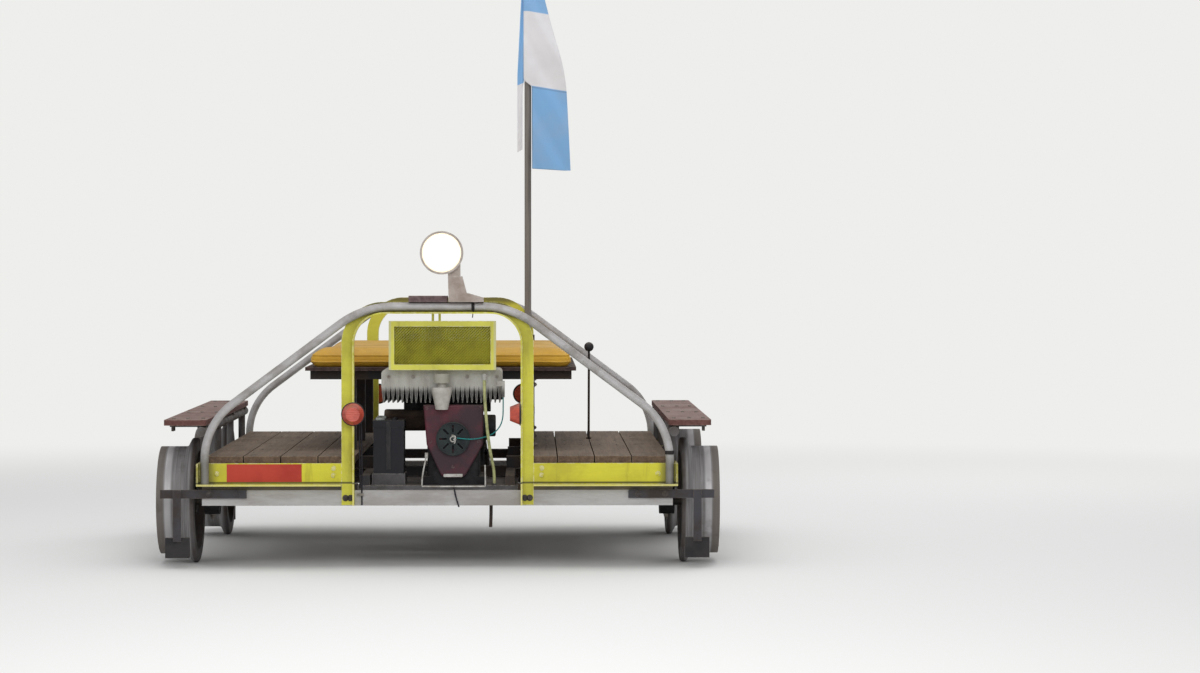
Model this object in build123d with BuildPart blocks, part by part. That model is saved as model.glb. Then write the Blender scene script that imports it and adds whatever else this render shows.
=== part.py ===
from build123d import *

import os
from math import radians, tan

os.makedirs("parts", exist_ok=True)

# Railway motor handcar: a light four-wheeled trolley with a bench along the middle,
# luggage decks on both sides and a small engine behind the front arch.
# Millimetres. X is across the track, the front faces -Y, Z is up.
# Z = 0 is under the wheel flanges, and the middle of the wheelbase is Y = 0.

# Track and wheels
rail_gauge = 1676.0
wheelbase = 1150.0
flange_play = 5.0
tread_radius = 178.0
tread_width = 90.0
flange_height = 28.0
flange_width = 35.0
flange_slope = 14.0
flange_root_radius = 10.0
flange_tip_radius = 7.0
rim_thickness = 14.0
wheel_web_thickness = 11.0
wheel_web_dish = 28.0
hub_radius = 46.0
hub_length = 105.0
hub_offset = 5.0
wheel_hole_radius = 24.0
wheel_hole_circle_radius = 106.0
wheel_hole_count = 6
axle_radius = 20.0
axle_end_inset = 8.0
axle_end_bevel = 3.0
fit_gap = 0.1
tube_gap = 0.3

# Bearings
bearing_height = 63.0
bearing_width = 50.0
bearing_radius = 48.0
bearing_base_length = 190.0
bearing_base_thickness = 17.0

# Yellow angle-iron deck frame
sill_wheel_gap = 18.0
end_wheel_gap = 49.0
sill_height = 73.0
side_sill_leg = 50.0
side_sill_thickness = 6.0
end_sill_leg = 40.0
end_sill_thickness = 5.0

# Square cross beams, engine bed and the rails between them
beam_size = 50.0
beam_end_inset = 15.0
bed_thickness = 15.0
bed_overlap = 10.0
bed_length = 450.0
centre_rail_inset = 20.0
centre_rail_width = 30.0
centre_rail_height = 33.0
tie_width = 40.0
tie_offset = 530.0
bearer_width = 40.0

# Wooden decks
deck_thickness = 22.0
deck_edge_inset = 30.0
deck_end_gap = 5.0
plank_count = 4
plank_gap = 4.0

# Arches and tube hoops at both ends
arch_half_width = 312.0
arch_top = 866.0
arch_leg_width = 42.0
arch_top_width = 38.0
arch_corner_radius = 136.0
arch_foot_drop = 63.0
hoop_tube_radius = 13.45
hoop_corner_inset = 26.0
hoop_drop = 15.0
hoop_shoulder_rise = 126.0
hoop_top_inset = 73.0
hoop_lower_bend = 224.0
hoop_upper_bend = 288.0

# Bench
seat_half_width = 460.0
seat_front_offset = 360.0
seat_rear_offset = 70.0
seat_rise = 279.0
cushion_thickness = 62.0
cushion_round = 20.0
seat_board_thickness = 12.0
seat_board_inset = 5.0
seat_tube = 30.0
seat_bearer_inset = 20.0
seat_post_inset = 30.0
post_inset_front = 55.0
post_inset_rear = 25.0

# Foot boards over the wheels
foot_rail_radius = 16.0
foot_rail_inset = 10.0
foot_rail_rise = 101.0
foot_rail_end_inset = 30.0
foot_post_radius = 12.5
foot_post_count = 4
foot_post_end_inset = 100.0
foot_strap_width = 50.0
foot_strap_sink = 4.0
foot_strap_thickness = 8.0
foot_strap_edge = 12.0
foot_tab_thickness = 8.0
foot_tab_height = 22.0
foot_tab_inner = 32.0
foot_tab_outer = 117.0
foot_board_width = 138.0
foot_board_thickness = 18.0
foot_board_corner = 12.0

# Rail sweepers
sweeper_bar_height = 28.0
sweeper_bar_thickness = 8.0
sweeper_bar_inset = 145.0
sweeper_bar_reach = 135.0
sweeper_bar_lift = 24.0
sweeper_post_offset = 12.0
sweeper_post_width = 26.0
sweeper_post_lap = 12.0
sweeper_pad_width = 78.0
sweeper_pad_height = 66.0
sweeper_pad_thickness = 20.0
sweeper_pad_gap = 6.0

# Engine
engine_x = 50.0
engine_offset = 30.0
engine_length = 240.0
crank_rise = 152.0
block_half_width = 85.0
block_base_height = 28.0
block_top_rise = 97.0
block_round = 16.0
barrel_half_width = 52.0
barrel_offset = 65.0
barrel_length = 110.0
barrel_height = 74.0
cover_left = -184.0
cover_right = 209.0
cover_band_height = 53.0
cover_round = 14.0
fin_count = 26
fin_tip_gap = 19.0
fin_gap_share = 0.12
barrel_clearance = 3.0
shroud_left = -47.0
shroud_right = 149.0
shroud_top_rise = 13.0
shroud_waist_drop = 20.0
shroud_waist_left = -36.0
shroud_waist_right = 147.0
shroud_foot_rise = 25.0
shroud_foot_half_width = 36.0
shroud_thickness = 25.0
shroud_round = 6.0
shroud_foot_round = 25.0
starter_radius = 55.0
starter_depth = 13.0
starter_hub_radius = 13.0
starter_hub_depth = 12.0
starter_slots = 8
starter_slot_length = 26.0
starter_slot_width = 7.0
starter_slot_circle_radius = 33.0
bowl_x = 14.0
bowl_top_radius = 33.0
bowl_foot_radius = 20.0
bowl_drop = 75.0
bowl_height = 72.0
bowl_lip = 12.0
filler_neck_radius = 15.0
filler_neck_height = 14.0
filler_radius = 26.0
filler_height = 30.0
bowl_stand_off = 4.0
bowl_neck_radius = 12.0
muffler_radius = 36.0
muffler_length = 140.0
muffler_offset = 200.0
muffler_rise = 51.0
muffler_neck = 8.0
muffler_round = 8.0
pipe_radius = 11.0
tail_pipe_rise = 31.0
cleaner_radius = 36.0
cleaner_length = 52.0
cleaner_offset = 140.0
cleaner_rise = 35.0
cleaner_round = 6.0

# Gearbox, pulleys and belt
gearbox_half_width = 57.0
gearbox_gap = 60.0
gearbox_length = 115.0
gearbox_top_rise = 55.0
gearbox_round = 14.0
input_shaft_radius = 15.0
output_shaft_radius = 12.0
output_offset = 60.0
pulley_x = 135.0
pulley_width = 30.0
drive_pulley_radius = 46.0
axle_pulley_radius = 101.0
groove_width = 19.0
groove_depth = 13.0
belt_width = 17.0
belt_thickness = 9.0
belt_stand_off = 3.0
pulley_hub_wall = 12.0
pulley_hub_length = 54.0

# Battery
battery_left = -210.0
battery_right = -112.0
battery_length = 155.0
battery_height = 173.0
battery_lid_height = 22.0
battery_lid_inset = 2.0
terminal_radius = 8.0
terminal_height = 10.0
terminal_inset = 20.0
tray_margin = 5.0
tray_height = 37.0
tray_wall = 4.0

# Grille panel
grille_left = -158.0
grille_right = 190.0
grille_border = 18.0
grille_depth = 26.0
grille_stand_off = 11.0
mesh_pitch = 19.0
mesh_hole = 14.0
mesh_thickness = 2.5
stud_places = (-15.0, 7.0)
stud_radius = 4.0
stud_length = 24.0

# Headlamp and marker lamps
lamp_x = 15.0
lamp_rise = 159.0
lamp_radius = 70.0
lamp_reach = 30.0
lamp_rim_depth = 16.0
lamp_bowl_depth = 78.0
lamp_back_radius = 26.0
lamp_waist_depth = 48.36
lamp_waist_radius = 54.6
lens_radius = 63.0
lens_rise = 5.0
lens_middle_rise = 3.6
lug_offset = 20.0
lug_width = 40.0
lug_depth = 36.0
lug_drop = 6.0
bracket_foot_left = 37.0
bracket_foot_right = 150.0
bracket_foot_height = 14.0
bracket_neck_width = 60.0
bracket_neck_height = 30.0
lamp_block_width = 127.0
lamp_block_gap = 3.0
lamp_block_height = 20.0
lamp_block_depth = 52.0
lamp_block_round = 4.0
marker_rise = 161.0
marker_radius = 37.0
marker_depth = 35.0
marker_nose_radius = 23.0

# Brake
brake_shaft_radius = 14.0
brake_shaft_reach = 237.0
shoe_gap = 6.0
shoe_thickness = 22.0
shoe_width = 56.0
shoe_angle = 34.0
brake_arm_thickness = 14.0
brake_arm_height = 30.0
brake_hanger_width = 40.0
brake_hanger_length = 37.0
lever_plank = 2
lever_thickness = 8.0
lever_width = 34.0
lever_length = 440.0
lever_lean_offset = 90.0
lever_slot_gap = 5.0
knob_radius = 17.0

# Flag pole and flag
pole_radius = 12.5
pole_height = 1881.0
clamp_width = 50.0
clamp_height = 26.0
clamp_lower_rise = 66.0
clamp_upper_drop = 166.0
clamp_wall = 5.0
flag_hoist = 877.0
flag_top_gap = 22.0
flag_top_reach = 45.0
flag_middle_drop = 580.0
flag_middle_reach = 170.0
flag_foot_reach = 184.0
flag_depth = 60.0
flag_gap = 0.5
flag_wrap_depth = 17.0
flag_wrap_drop = 30.0
flag_wrap_foot_drop = 561.0
flag_strip_reach = 42.0
flag_strip_width = 26.0
flag_strip_rise = 70.0

# Tow eye on the rear beam
tow_plate_width = 90.0
tow_plate_reach = 62.0
tow_plate_thickness = 14.0
tow_plate_corner = 31.0
tow_eye_radius = 13.0
tow_eye_reach = 36.0

# Levels and places that follow from the sizes above
axle_height = tread_radius + flange_height
tread_inner = rail_gauge / 2 - flange_play
tread_outer = tread_inner + tread_width
flange_back = tread_inner - flange_width
hub_outer = tread_outer - hub_offset - axle_end_inset
hub_inner = hub_outer - hub_length
frame_half_width = flange_back - sill_wheel_gap
sill_bottom = axle_height + bearing_height
sill_top = sill_bottom + sill_height
bearing_x = frame_half_width - bearing_width / 2
frame_half_length = wheelbase / 2 + axle_height + end_wheel_gap + end_sill_leg
web_outer_y = frame_half_length - end_sill_leg + end_sill_thickness
web_inner_y = web_outer_y - end_sill_thickness
beam_half_length = frame_half_width - beam_end_inset
beam_top = sill_bottom - bed_thickness
beam_bottom = beam_top - beam_size
beam_inner_y = web_inner_y - beam_size
arch_inner = arch_half_width - arch_leg_width
arch_inner_top = arch_top - arch_top_width
arch_inner_radius = arch_corner_radius - arch_top_width
deck_inner = arch_inner
deck_outer = frame_half_width - deck_edge_inset
deck_top = sill_top + deck_thickness
rail_outer_x = deck_inner - centre_rail_inset
rail_inner_x = rail_outer_x - centre_rail_width
rail_top = sill_bottom + centre_rail_height
bed_half_width = rail_outer_x + bed_overlap
hoop_y = web_outer_y + tube_gap + hoop_tube_radius
hoop_half_width = frame_half_width - hoop_corner_inset
hoop_top = arch_top - hoop_drop
hoop_shoulder_height = sill_top + hoop_shoulder_rise
hoop_top_half_width = arch_half_width - hoop_top_inset
seat_front = seat_front_offset - web_inner_y
seat_rear = web_inner_y - seat_rear_offset
seat_height = deck_top + seat_rise
seat_board_bottom = seat_height - seat_board_thickness
seat_bearer_bottom = seat_board_bottom - seat_tube
seat_bearer_half_length = seat_half_width - seat_bearer_inset
seat_post_x = deck_inner + seat_post_inset
first_post = seat_front + post_inset_front
last_post = seat_rear - post_inset_rear
post_stations = (first_post, (first_post + last_post) / 2, last_post)
tie_stations = (tie_offset - web_inner_y, last_post)
foot_rail_x = frame_half_width - foot_rail_inset
foot_rail_height = sill_top + foot_rail_rise
foot_rail_half_length = web_inner_y - foot_rail_end_inset
foot_rail_top = foot_rail_height + foot_rail_radius
foot_board_inner = foot_rail_x - foot_rail_radius
foot_board_outer = foot_board_inner + foot_board_width
foot_board_bottom = foot_rail_top + foot_strap_thickness - foot_strap_sink
engine_front = engine_offset - web_inner_y
engine_rear = engine_front + engine_length
crank_height = sill_bottom + crank_rise
block_top = crank_height + block_top_rise
fin_tip = block_top + fin_tip_gap
cover_band_bottom = block_top + barrel_height
cover_top = cover_band_bottom + cover_band_height
gearbox_front = engine_rear + gearbox_gap
output_y = gearbox_front + output_offset
drive_belt_radius = drive_pulley_radius - groove_depth
axle_belt_radius = axle_pulley_radius - groove_depth + belt_stand_off
pole_x = (arch_inner + arch_half_width) / 2
pole_top = deck_top + pole_height

# Hose and starter cord: routes as (X, distance in front of the engine, Z)
hose_diameter = 10.0
hose_tail_radius = 7.0
hose_elbow_drop = 19.0
hose_points = [
    (152.0, 42.0, 612.0),
    (152.0, 42.0, 562.0),
    (157.0, 46.0, 500.0),
    (163.0, 44.0, 434.0),
    (172.0, 36.0, 370.0),
    (184.0, 16.0, 316.0),
    (184.0, 16.0, 275.0),
]
starter_cord_diameter = 4.0
cord_eye_radius = 5.0
cord_eye_tab = 16.0
starter_cord_points = [
    (63.5, 45.0, 424.0),
    (80.0, 45.0, 422.0),
    (102.0, 44.0, 420.0),
    (127.0, 38.0, 421.0),
    (152.0, 32.5, 426.0),
    (176.0, 32.0, 435.0),
    (195.0, 33.0, 450.0),
    (207.0, 34.0, 470.0),
    (212.0, 34.0, 491.0),
    (213.0, 34.0, 513.0),
    (213.0, 33.5, 556.0),
]
hose_route = [(x, engine_front - ahead, z) for x, ahead, z in hose_points]
starter_cord_route = [(x, engine_front - ahead, z) for x, ahead, z in starter_cord_points]

ends = (("front", -1), ("rear", 1))
sides = (("left", -1), ("right", 1))


def write_piece(piece, name):
    """Names a finished piece and writes it as one STEP file."""
    piece.part.label = name
    export_step(piece.part, f"parts/{name}.step")


def bar(x_span, y_span, z_span, mode=Mode.ADD):
    """A square-cornered bar between two limits on each axis."""
    spans = (x_span, y_span, z_span)
    middle = tuple((span[0] + span[1]) / 2 for span in spans)
    lengths = tuple(abs(span[1] - span[0]) for span in spans)
    with Locations(middle):
        Box(*lengths, mode=mode)


def upright_plane(y):
    """The plane across the car at this Y, with X to the right and Z up."""
    return Plane.XZ.offset(-y)


def rod(start, end, radius, mode=Mode.ADD):
    """A round rod from one point to another."""
    along = Vector(*end) - Vector(*start)
    middle = (Vector(*start) + Vector(*end)) / 2
    with Locations(Plane(origin=middle, z_dir=along)):
        Cylinder(radius, along.length, mode=mode)


def cord_radii(points):
    """The bend at each corner: nearly the largest that its two runs leave room for."""
    steps = [Vector(*b) - Vector(*a) for a, b in zip(points, points[1:])]
    radii = []
    for before, after in zip(steps, steps[1:]):
        half_turn = radians(before.get_angle(after)) / 2
        radii.append(0.45 * min(before.length, after.length) / tan(half_turn))
    return radii


# Wheels: pressed steel discs with a deep flange, six holes and a long hub
for end_name, end in ends:
    axle_y = end * wheelbase / 2
    for side_name, side in sides:
        web_hub_x = hub_inner + hub_length / 2
        web_rim_x = web_hub_x + wheel_web_dish
        half_web = wheel_web_thickness / 2
        rim_inner = tread_radius - rim_thickness
        bore = axle_radius + fit_gap
        outline = [
            (hub_outer, bore),
            (hub_outer, hub_radius),
            (web_hub_x + half_web, hub_radius),
            (web_rim_x + half_web, rim_inner),
            (tread_outer, rim_inner),
            (tread_outer, tread_radius),
            (tread_inner, tread_radius),
            (tread_inner - flange_slope, tread_radius + flange_height),
            (flange_back, tread_radius + flange_height),
            (flange_back, rim_inner),
            (web_rim_x - half_web, rim_inner),
            (web_hub_x - half_web, hub_radius),
            (hub_inner, hub_radius),
            (hub_inner, bore),
        ]
        with BuildPart() as wheel:
            with BuildSketch(upright_plane(axle_y)) as wheel_section:
                with BuildLine():
                    Polyline([(side * x, axle_height + r) for x, r in outline], close=True)
                make_face()
                tip_level = axle_height + tread_radius + flange_height / 2
                tips = wheel_section.vertices().filter_by(lambda corner: corner.Y > tip_level)
                fillet(tips, radius=flange_tip_radius)
                root = (side * tread_inner, axle_height + tread_radius)
                fillet(wheel_section.vertices().sort_by_distance(root)[0], radius=flange_root_radius)
            revolve(axis=Axis((0, axle_y, axle_height), (1, 0, 0)))
            hole_plane = Plane(origin=(0, axle_y, axle_height), x_dir=(0, 1, 0), z_dir=(side, 0, 0))
            with BuildSketch(hole_plane):
                with PolarLocations(wheel_hole_circle_radius, wheel_hole_count):
                    Circle(wheel_hole_radius)
            extrude(amount=tread_outer, mode=Mode.SUBTRACT)
        write_piece(wheel, f"{end_name}_wheel_{side_name}")

# Axles: plain round bars through both hubs
axle_end_x = tread_outer - axle_end_inset
for end_name, end in ends:
    axle_y = end * wheelbase / 2
    with BuildPart() as axle:
        rod((-axle_end_x, axle_y, axle_height), (axle_end_x, axle_y, axle_height), axle_radius)
        chamfer(axle.edges().filter_by(GeomType.CIRCLE), length=axle_end_bevel)
    write_piece(axle, f"{end_name}_axle")


def pulley_outline(radius, bore):
    """Half section of a grooved pulley, as (x from its middle, radius) points."""
    half = pulley_width / 2
    half_hub = pulley_hub_length / 2
    return [
        (-half_hub, bore),
        (-half_hub, bore + pulley_hub_wall),
        (-half, bore + pulley_hub_wall),
        (-half, radius),
        (-groove_width / 2, radius),
        (-groove_width / 2, radius - groove_depth),
        (groove_width / 2, radius - groove_depth),
        (groove_width / 2, radius),
        (half, radius),
        (half, bore),
    ]


# Pulleys: a small one on the gearbox shaft and a large one on the rear axle
pulleys = (
    ("drive_pulley", drive_pulley_radius, output_shaft_radius + fit_gap, output_y, crank_height),
    ("axle_pulley", axle_pulley_radius, axle_radius + fit_gap, wheelbase / 2, axle_height),
)
for name, radius, bore, pulley_y, pulley_z in pulleys:
    with BuildPart() as pulley:
        with BuildSketch(upright_plane(pulley_y)):
            with BuildLine():
                Polyline([(pulley_x - x, pulley_z + r) for x, r in pulley_outline(radius, bore)], close=True)
            make_face()
        revolve(axis=Axis((0, pulley_y, pulley_z), (1, 0, 0)))
    write_piece(pulley, name)

# Drive belt: one closed loop round both pulleys
with BuildPart() as belt:
    belt_plane = Plane.YZ.offset(pulley_x - belt_width / 2)
    with BuildSketch(belt_plane):
        with Locations((output_y, crank_height)):
            Circle(drive_belt_radius + belt_thickness)
        with Locations((wheelbase / 2, axle_height)):
            Circle(axle_belt_radius + belt_thickness)
        make_hull()
    extrude(amount=belt_width)
    with BuildSketch(belt_plane):
        with Locations((output_y, crank_height)):
            Circle(drive_belt_radius)
        with Locations((wheelbase / 2, axle_height)):
            Circle(axle_belt_radius)
        make_hull()
    extrude(amount=belt_width, mode=Mode.SUBTRACT)
write_piece(belt, "drive_belt")

# Bearing blocks: pillow blocks hung upside down under the side sills
with BuildPart() as bearings:
    for end_name, end in ends:
        axle_y = end * wheelbase / 2
        for side_name, side in sides:
            inner_x = side * (bearing_x - bearing_width / 2)
            outer_x = side * (bearing_x + bearing_width / 2)
            rod((inner_x, axle_y, axle_height), (outer_x, axle_y, axle_height), bearing_radius)
            base_y = (axle_y - bearing_base_length / 2, axle_y + bearing_base_length / 2)
            bar((inner_x, outer_x), base_y, (sill_bottom - bearing_base_thickness, sill_bottom))
            neck_y = (axle_y - bearing_radius, axle_y + bearing_radius)
            bar((inner_x, outer_x), neck_y, (axle_height, sill_bottom))
            reach = 2 * bearing_width
            hole_ends = (inner_x - side * reach, outer_x + side * reach)
            bore_radius = axle_radius + tube_gap
            hole_start = (hole_ends[0], axle_y, axle_height)
            rod(hole_start, (hole_ends[1], axle_y, axle_height), bore_radius, mode=Mode.SUBTRACT)
write_piece(bearings, "bearing_blocks")

# Side sills: angle irons along the car, the flat leg turned inwards
for side_name, side in sides:
    length_span = (-frame_half_length, frame_half_length)
    with BuildPart() as side_sill:
        outer = side * frame_half_width
        bar((outer, outer - side * side_sill_thickness), length_span, (sill_bottom, sill_top))
        ledge_top = sill_bottom + side_sill_thickness
        bar((outer, outer - side * side_sill_leg), length_span, (sill_bottom, ledge_top))
    write_piece(side_sill, f"side_sill_{side_name}")

# End sills: angle irons from the side sills to the arch legs, the flat leg turned outwards
with BuildPart() as end_sill:
    for end_name, end in ends:
        for side_name, side in sides:
            x_span = (side * arch_half_width, side * (frame_half_width - side_sill_thickness))
            bar(x_span, (end * web_inner_y, end * web_outer_y), (sill_bottom, sill_top))
            flat_top = sill_bottom + end_sill_thickness
            bar(x_span, (end * web_inner_y, end * frame_half_length), (sill_bottom, flat_top))
            notch_x = (side * (frame_half_width - side_sill_leg), side * frame_half_width)
            notch_y = (end * (web_inner_y - plank_gap), end * (frame_half_length + plank_gap))
            ledge_top = sill_bottom + side_sill_thickness
            bar(notch_x, notch_y, (sill_bottom, ledge_top), mode=Mode.SUBTRACT)
write_piece(end_sill, "end_sills")

# Cross beams: square tubes behind the arch legs, with pads under the frame
for end_name, end in ends:
    with BuildPart() as beam:
        y_span = (end * beam_inner_y, end * web_inner_y)
        bar((-beam_half_length, beam_half_length), y_span, (beam_bottom, beam_top))
        for side_name, side in sides:
            pad_x = (side * arch_half_width, side * beam_half_length)
            bar(pad_x, y_span, (beam_top, sill_bottom))
            if end_name == "rear":
                bar((side * rail_inner_x, side * rail_outer_x), y_span, (beam_top, sill_bottom))
        if end_name == "rear":
            plate_z = (beam_bottom, beam_bottom + tow_plate_thickness)
            plate_y = (web_inner_y, web_inner_y + tow_plate_reach)
            bar((-tow_plate_width / 2, tow_plate_width / 2), plate_y, plate_z)
            corners = beam.edges().filter_by(Axis.Z).group_by(Axis.Y)[-1]
            fillet(corners, radius=tow_plate_corner)
            eye_y = web_inner_y + tow_eye_reach
            eye_foot = (0, eye_y, beam_bottom - tow_plate_thickness)
            eye_head = (0, eye_y, beam_bottom + 2 * tow_plate_thickness)
            rod(eye_foot, eye_head, tow_eye_radius, mode=Mode.SUBTRACT)
    write_piece(beam, f"{end_name}_beam")

# Engine bed: a plate from the front beam back under the centre rails, with the hose nipple
with BuildPart() as bed:
    bed_rear = -web_inner_y + bed_length
    bar((-bed_half_width, bed_half_width), (-web_inner_y, bed_rear), (beam_top, sill_bottom))
    nipple_x, nipple_y, nipple_z = hose_route[-1]
    rod((nipple_x, nipple_y, sill_bottom), (nipple_x, nipple_y, nipple_z), hose_tail_radius)
write_piece(bed, "engine_bed")

# Centre rails and their cross ties
with BuildPart() as centre_rails:
    for side_name, side in sides:
        rail_x = (side * rail_inner_x, side * rail_outer_x)
        bar(rail_x, (-web_inner_y, web_inner_y), (sill_bottom, rail_top))
write_piece(centre_rails, "centre_rails")
with BuildPart() as ties:
    for station in tie_stations:
        tie_y = (station - tie_width / 2, station + tie_width / 2)
        bar((-rail_inner_x, rail_inner_x), tie_y, (sill_bottom, rail_top))
write_piece(ties, "cross_ties")

# Deck bearers: short tubes from the centre rails to the side sills
with BuildPart() as bearers:
    for side_name, side in sides:
        for station in post_stations:
            bearer_y = (station - bearer_width / 2, station + bearer_width / 2)
            bearer_x = (side * rail_inner_x, side * (frame_half_width - side_sill_thickness))
            bar(bearer_x, bearer_y, (rail_top, sill_top))
write_piece(bearers, "deck_bearers")

# Decks: four planks on each side, with a slot for the brake lever on the right
plank_width = (deck_outer - deck_inner - (plank_count - 1) * plank_gap) / plank_count
lever_x = deck_inner + lever_plank * (plank_width + plank_gap) - plank_gap / 2
brake_shaft_y = wheelbase / 2 - brake_shaft_reach
for side_name, side in sides:
    with BuildPart() as deck:
        for plank in range(plank_count):
            plank_inner = deck_inner + plank * (plank_width + plank_gap)
            plank_x = (side * plank_inner, side * (plank_inner + plank_width))
            deck_end = web_inner_y - deck_end_gap
            bar(plank_x, (-deck_end, deck_end), (sill_top, deck_top))
        if side_name == "right":
            slot_x = lever_thickness / 2 + lever_slot_gap
            slot_y = (brake_shaft_y - lever_lean_offset, brake_shaft_y + lever_width)
            slot_z = (sill_top - plank_gap, deck_top + plank_gap)
            bar((lever_x - slot_x, lever_x + slot_x), slot_y, slot_z, mode=Mode.SUBTRACT)
    write_piece(deck, f"deck_{side_name}")


# Arches: angle iron bent to a round-cornered arch, its flange on the inner edge
arch_foot = sill_bottom - arch_foot_drop
flange_half_width = arch_inner + end_sill_thickness
flange_top = arch_inner_top + end_sill_thickness
flange_corner = arch_inner_radius + end_sill_thickness
# Each layer: half width, top, corner radius, depth along Y, mode
arch_layers = (
    (arch_half_width, arch_top, arch_corner_radius, end_sill_thickness, Mode.ADD),
    (flange_half_width, flange_top, flange_corner, end_sill_leg, Mode.ADD),
    (arch_inner, arch_inner_top, arch_inner_radius, end_sill_leg, Mode.SUBTRACT),
)
for end_name, end in ends:
    with BuildPart() as arch:
        for half_width, top, radius, depth, mode in arch_layers:
            with BuildSketch(upright_plane(end * web_inner_y)) as layer:
                with Locations((0, arch_foot)):
                    Rectangle(2 * half_width, top - arch_foot, align=(Align.CENTER, Align.MIN))
                fillet(layer.vertices().group_by(Axis.Y)[-1], radius=radius)
            extrude(amount=-end * depth, mode=mode)
    write_piece(arch, f"arch_{end_name}")

# Hoops: galvanised tube bent in one run from corner to corner
hoop_foot = sill_bottom + side_sill_thickness
hoop_corners = [
    (-hoop_half_width, hoop_foot),
    (-hoop_half_width, hoop_shoulder_height),
    (-hoop_top_half_width, hoop_top),
    (hoop_top_half_width, hoop_top),
    (hoop_half_width, hoop_shoulder_height),
    (hoop_half_width, hoop_foot),
]
hoop_bends = [hoop_lower_bend, hoop_upper_bend, hoop_upper_bend, hoop_lower_bend]
for end_name, end in ends:
    with BuildPart() as hoop:
        with BuildLine(upright_plane(end * hoop_y)) as hoop_path:
            FilletPolyline(*hoop_corners, radius=hoop_bends)
        with BuildSketch(Plane(origin=hoop_path.line @ 0, z_dir=hoop_path.line % 0)):
            Circle(hoop_tube_radius)
        sweep(path=hoop_path.line)
    write_piece(hoop, f"hoop_{end_name}")

# Bench frame: posts on the decks, cross tubes and a board
with BuildPart() as posts:
    half_tube = seat_tube / 2
    for side_name, side in sides:
        for station in post_stations:
            post_x = (side * seat_post_x - half_tube, side * seat_post_x + half_tube)
            bar(post_x, (station - half_tube, station + half_tube), (deck_top, seat_bearer_bottom))
write_piece(posts, "seat_posts")
with BuildPart() as seat_bearers:
    for station in post_stations:
        bearer_x = (-seat_bearer_half_length, seat_bearer_half_length)
        bearer_y = (station - half_tube, station + half_tube)
        bar(bearer_x, bearer_y, (seat_bearer_bottom, seat_board_bottom))
write_piece(seat_bearers, "seat_bearers")
with BuildPart() as seat_board:
    board_half_width = seat_half_width - seat_board_inset
    board_y = (seat_front + seat_board_inset, seat_rear - seat_board_inset)
    bar((-board_half_width, board_half_width), board_y, (seat_board_bottom, seat_height))
write_piece(seat_board, "seat_board")

# Bench cushion
with BuildPart() as cushion:
    cushion_z = (seat_height, seat_height + cushion_thickness)
    bar((-seat_half_width, seat_half_width), (seat_front, seat_rear), cushion_z)
    fillet(cushion.edges().filter_by(Axis.Z), radius=cushion_round)
    fillet(cushion.faces().sort_by(Axis.Z)[-1].edges(), radius=cushion_round)
write_piece(cushion, "seat_cushion")

# Foot rails: a side tube on short posts, with straps and tabs under the board
for side_name, side in sides:
    tube_x = side * foot_rail_x
    with BuildPart() as foot_rail:
        tube_end = foot_rail_half_length
        rod((tube_x, -tube_end, foot_rail_height), (tube_x, tube_end, foot_rail_height), foot_rail_radius)
        for post in range(foot_post_count):
            first_station = foot_post_end_inset - tube_end
            station = first_station - 2 * first_station * post / (foot_post_count - 1)
            rod((tube_x, station, sill_top), (tube_x, station, foot_rail_height), foot_post_radius)
            strap_y = (station - foot_strap_width / 2, station + foot_strap_width / 2)
            strap_x = (side * foot_board_inner, side * (foot_board_outer - foot_strap_edge))
            strap_bottom = foot_board_bottom - foot_strap_thickness
            bar(strap_x, strap_y, (strap_bottom, foot_board_bottom))
            for place in (foot_tab_inner, foot_tab_outer):
                tab_start = foot_board_inner + place - foot_tab_thickness / 2
                tab_x = (side * tab_start, side * (tab_start + foot_tab_thickness))
                bar(tab_x, strap_y, (foot_board_bottom - foot_tab_height, foot_board_bottom))
    write_piece(foot_rail, f"foot_rail_{side_name}")

# Foot boards
for side_name, side in sides:
    with BuildPart() as foot_board:
        board_x = (side * foot_board_inner, side * foot_board_outer)
        board_y = (-foot_rail_half_length, foot_rail_half_length)
        bar(board_x, board_y, (foot_board_bottom, foot_board_bottom + foot_board_thickness))
        fillet(foot_board.edges().filter_by(Axis.Z), radius=foot_board_corner)
    write_piece(foot_board, f"foot_board_{side_name}")

# Rail sweepers: bars on the beam faces, with rubber pads just above the rails
bar_outer_y = web_inner_y + sweeper_bar_thickness
post_outer_y = bar_outer_y + sweeper_bar_thickness
sweeper_bar_level = beam_bottom + sweeper_bar_lift
sweeper_post_x = tread_inner + sweeper_post_offset
sweeper_pad_foot = flange_height + sweeper_pad_gap
sweeper_pad_top = sweeper_pad_foot + sweeper_pad_height
with BuildPart() as sweeper_arms:
    for end_name, end in ends:
        for side_name, side in sides:
            bar_inner = beam_half_length - sweeper_bar_inset
            bar_x = (side * bar_inner, side * (beam_half_length + sweeper_bar_reach))
            bar_z = (sweeper_bar_level, sweeper_bar_level + sweeper_bar_height)
            bar(bar_x, (end * web_inner_y, end * bar_outer_y), bar_z)
            half_post = sweeper_post_width / 2
            post_x = (side * (sweeper_post_x - half_post), side * (sweeper_post_x + half_post))
            post_z = (sweeper_pad_top - sweeper_post_lap, sweeper_bar_level + sweeper_bar_height)
            bar(post_x, (end * bar_outer_y, end * post_outer_y), post_z)
write_piece(sweeper_arms, "sweeper_arms")
with BuildPart() as sweeper_pads:
    for end_name, end in ends:
        for side_name, side in sides:
            half_pad = sweeper_pad_width / 2
            pad_x = (side * (sweeper_post_x - half_pad), side * (sweeper_post_x + half_pad))
            pad_y = (end * (bar_outer_y - sweeper_pad_thickness), end * bar_outer_y)
            bar(pad_x, pad_y, (sweeper_pad_foot, sweeper_pad_top))
write_piece(sweeper_pads, "sweeper_pads")

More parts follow.
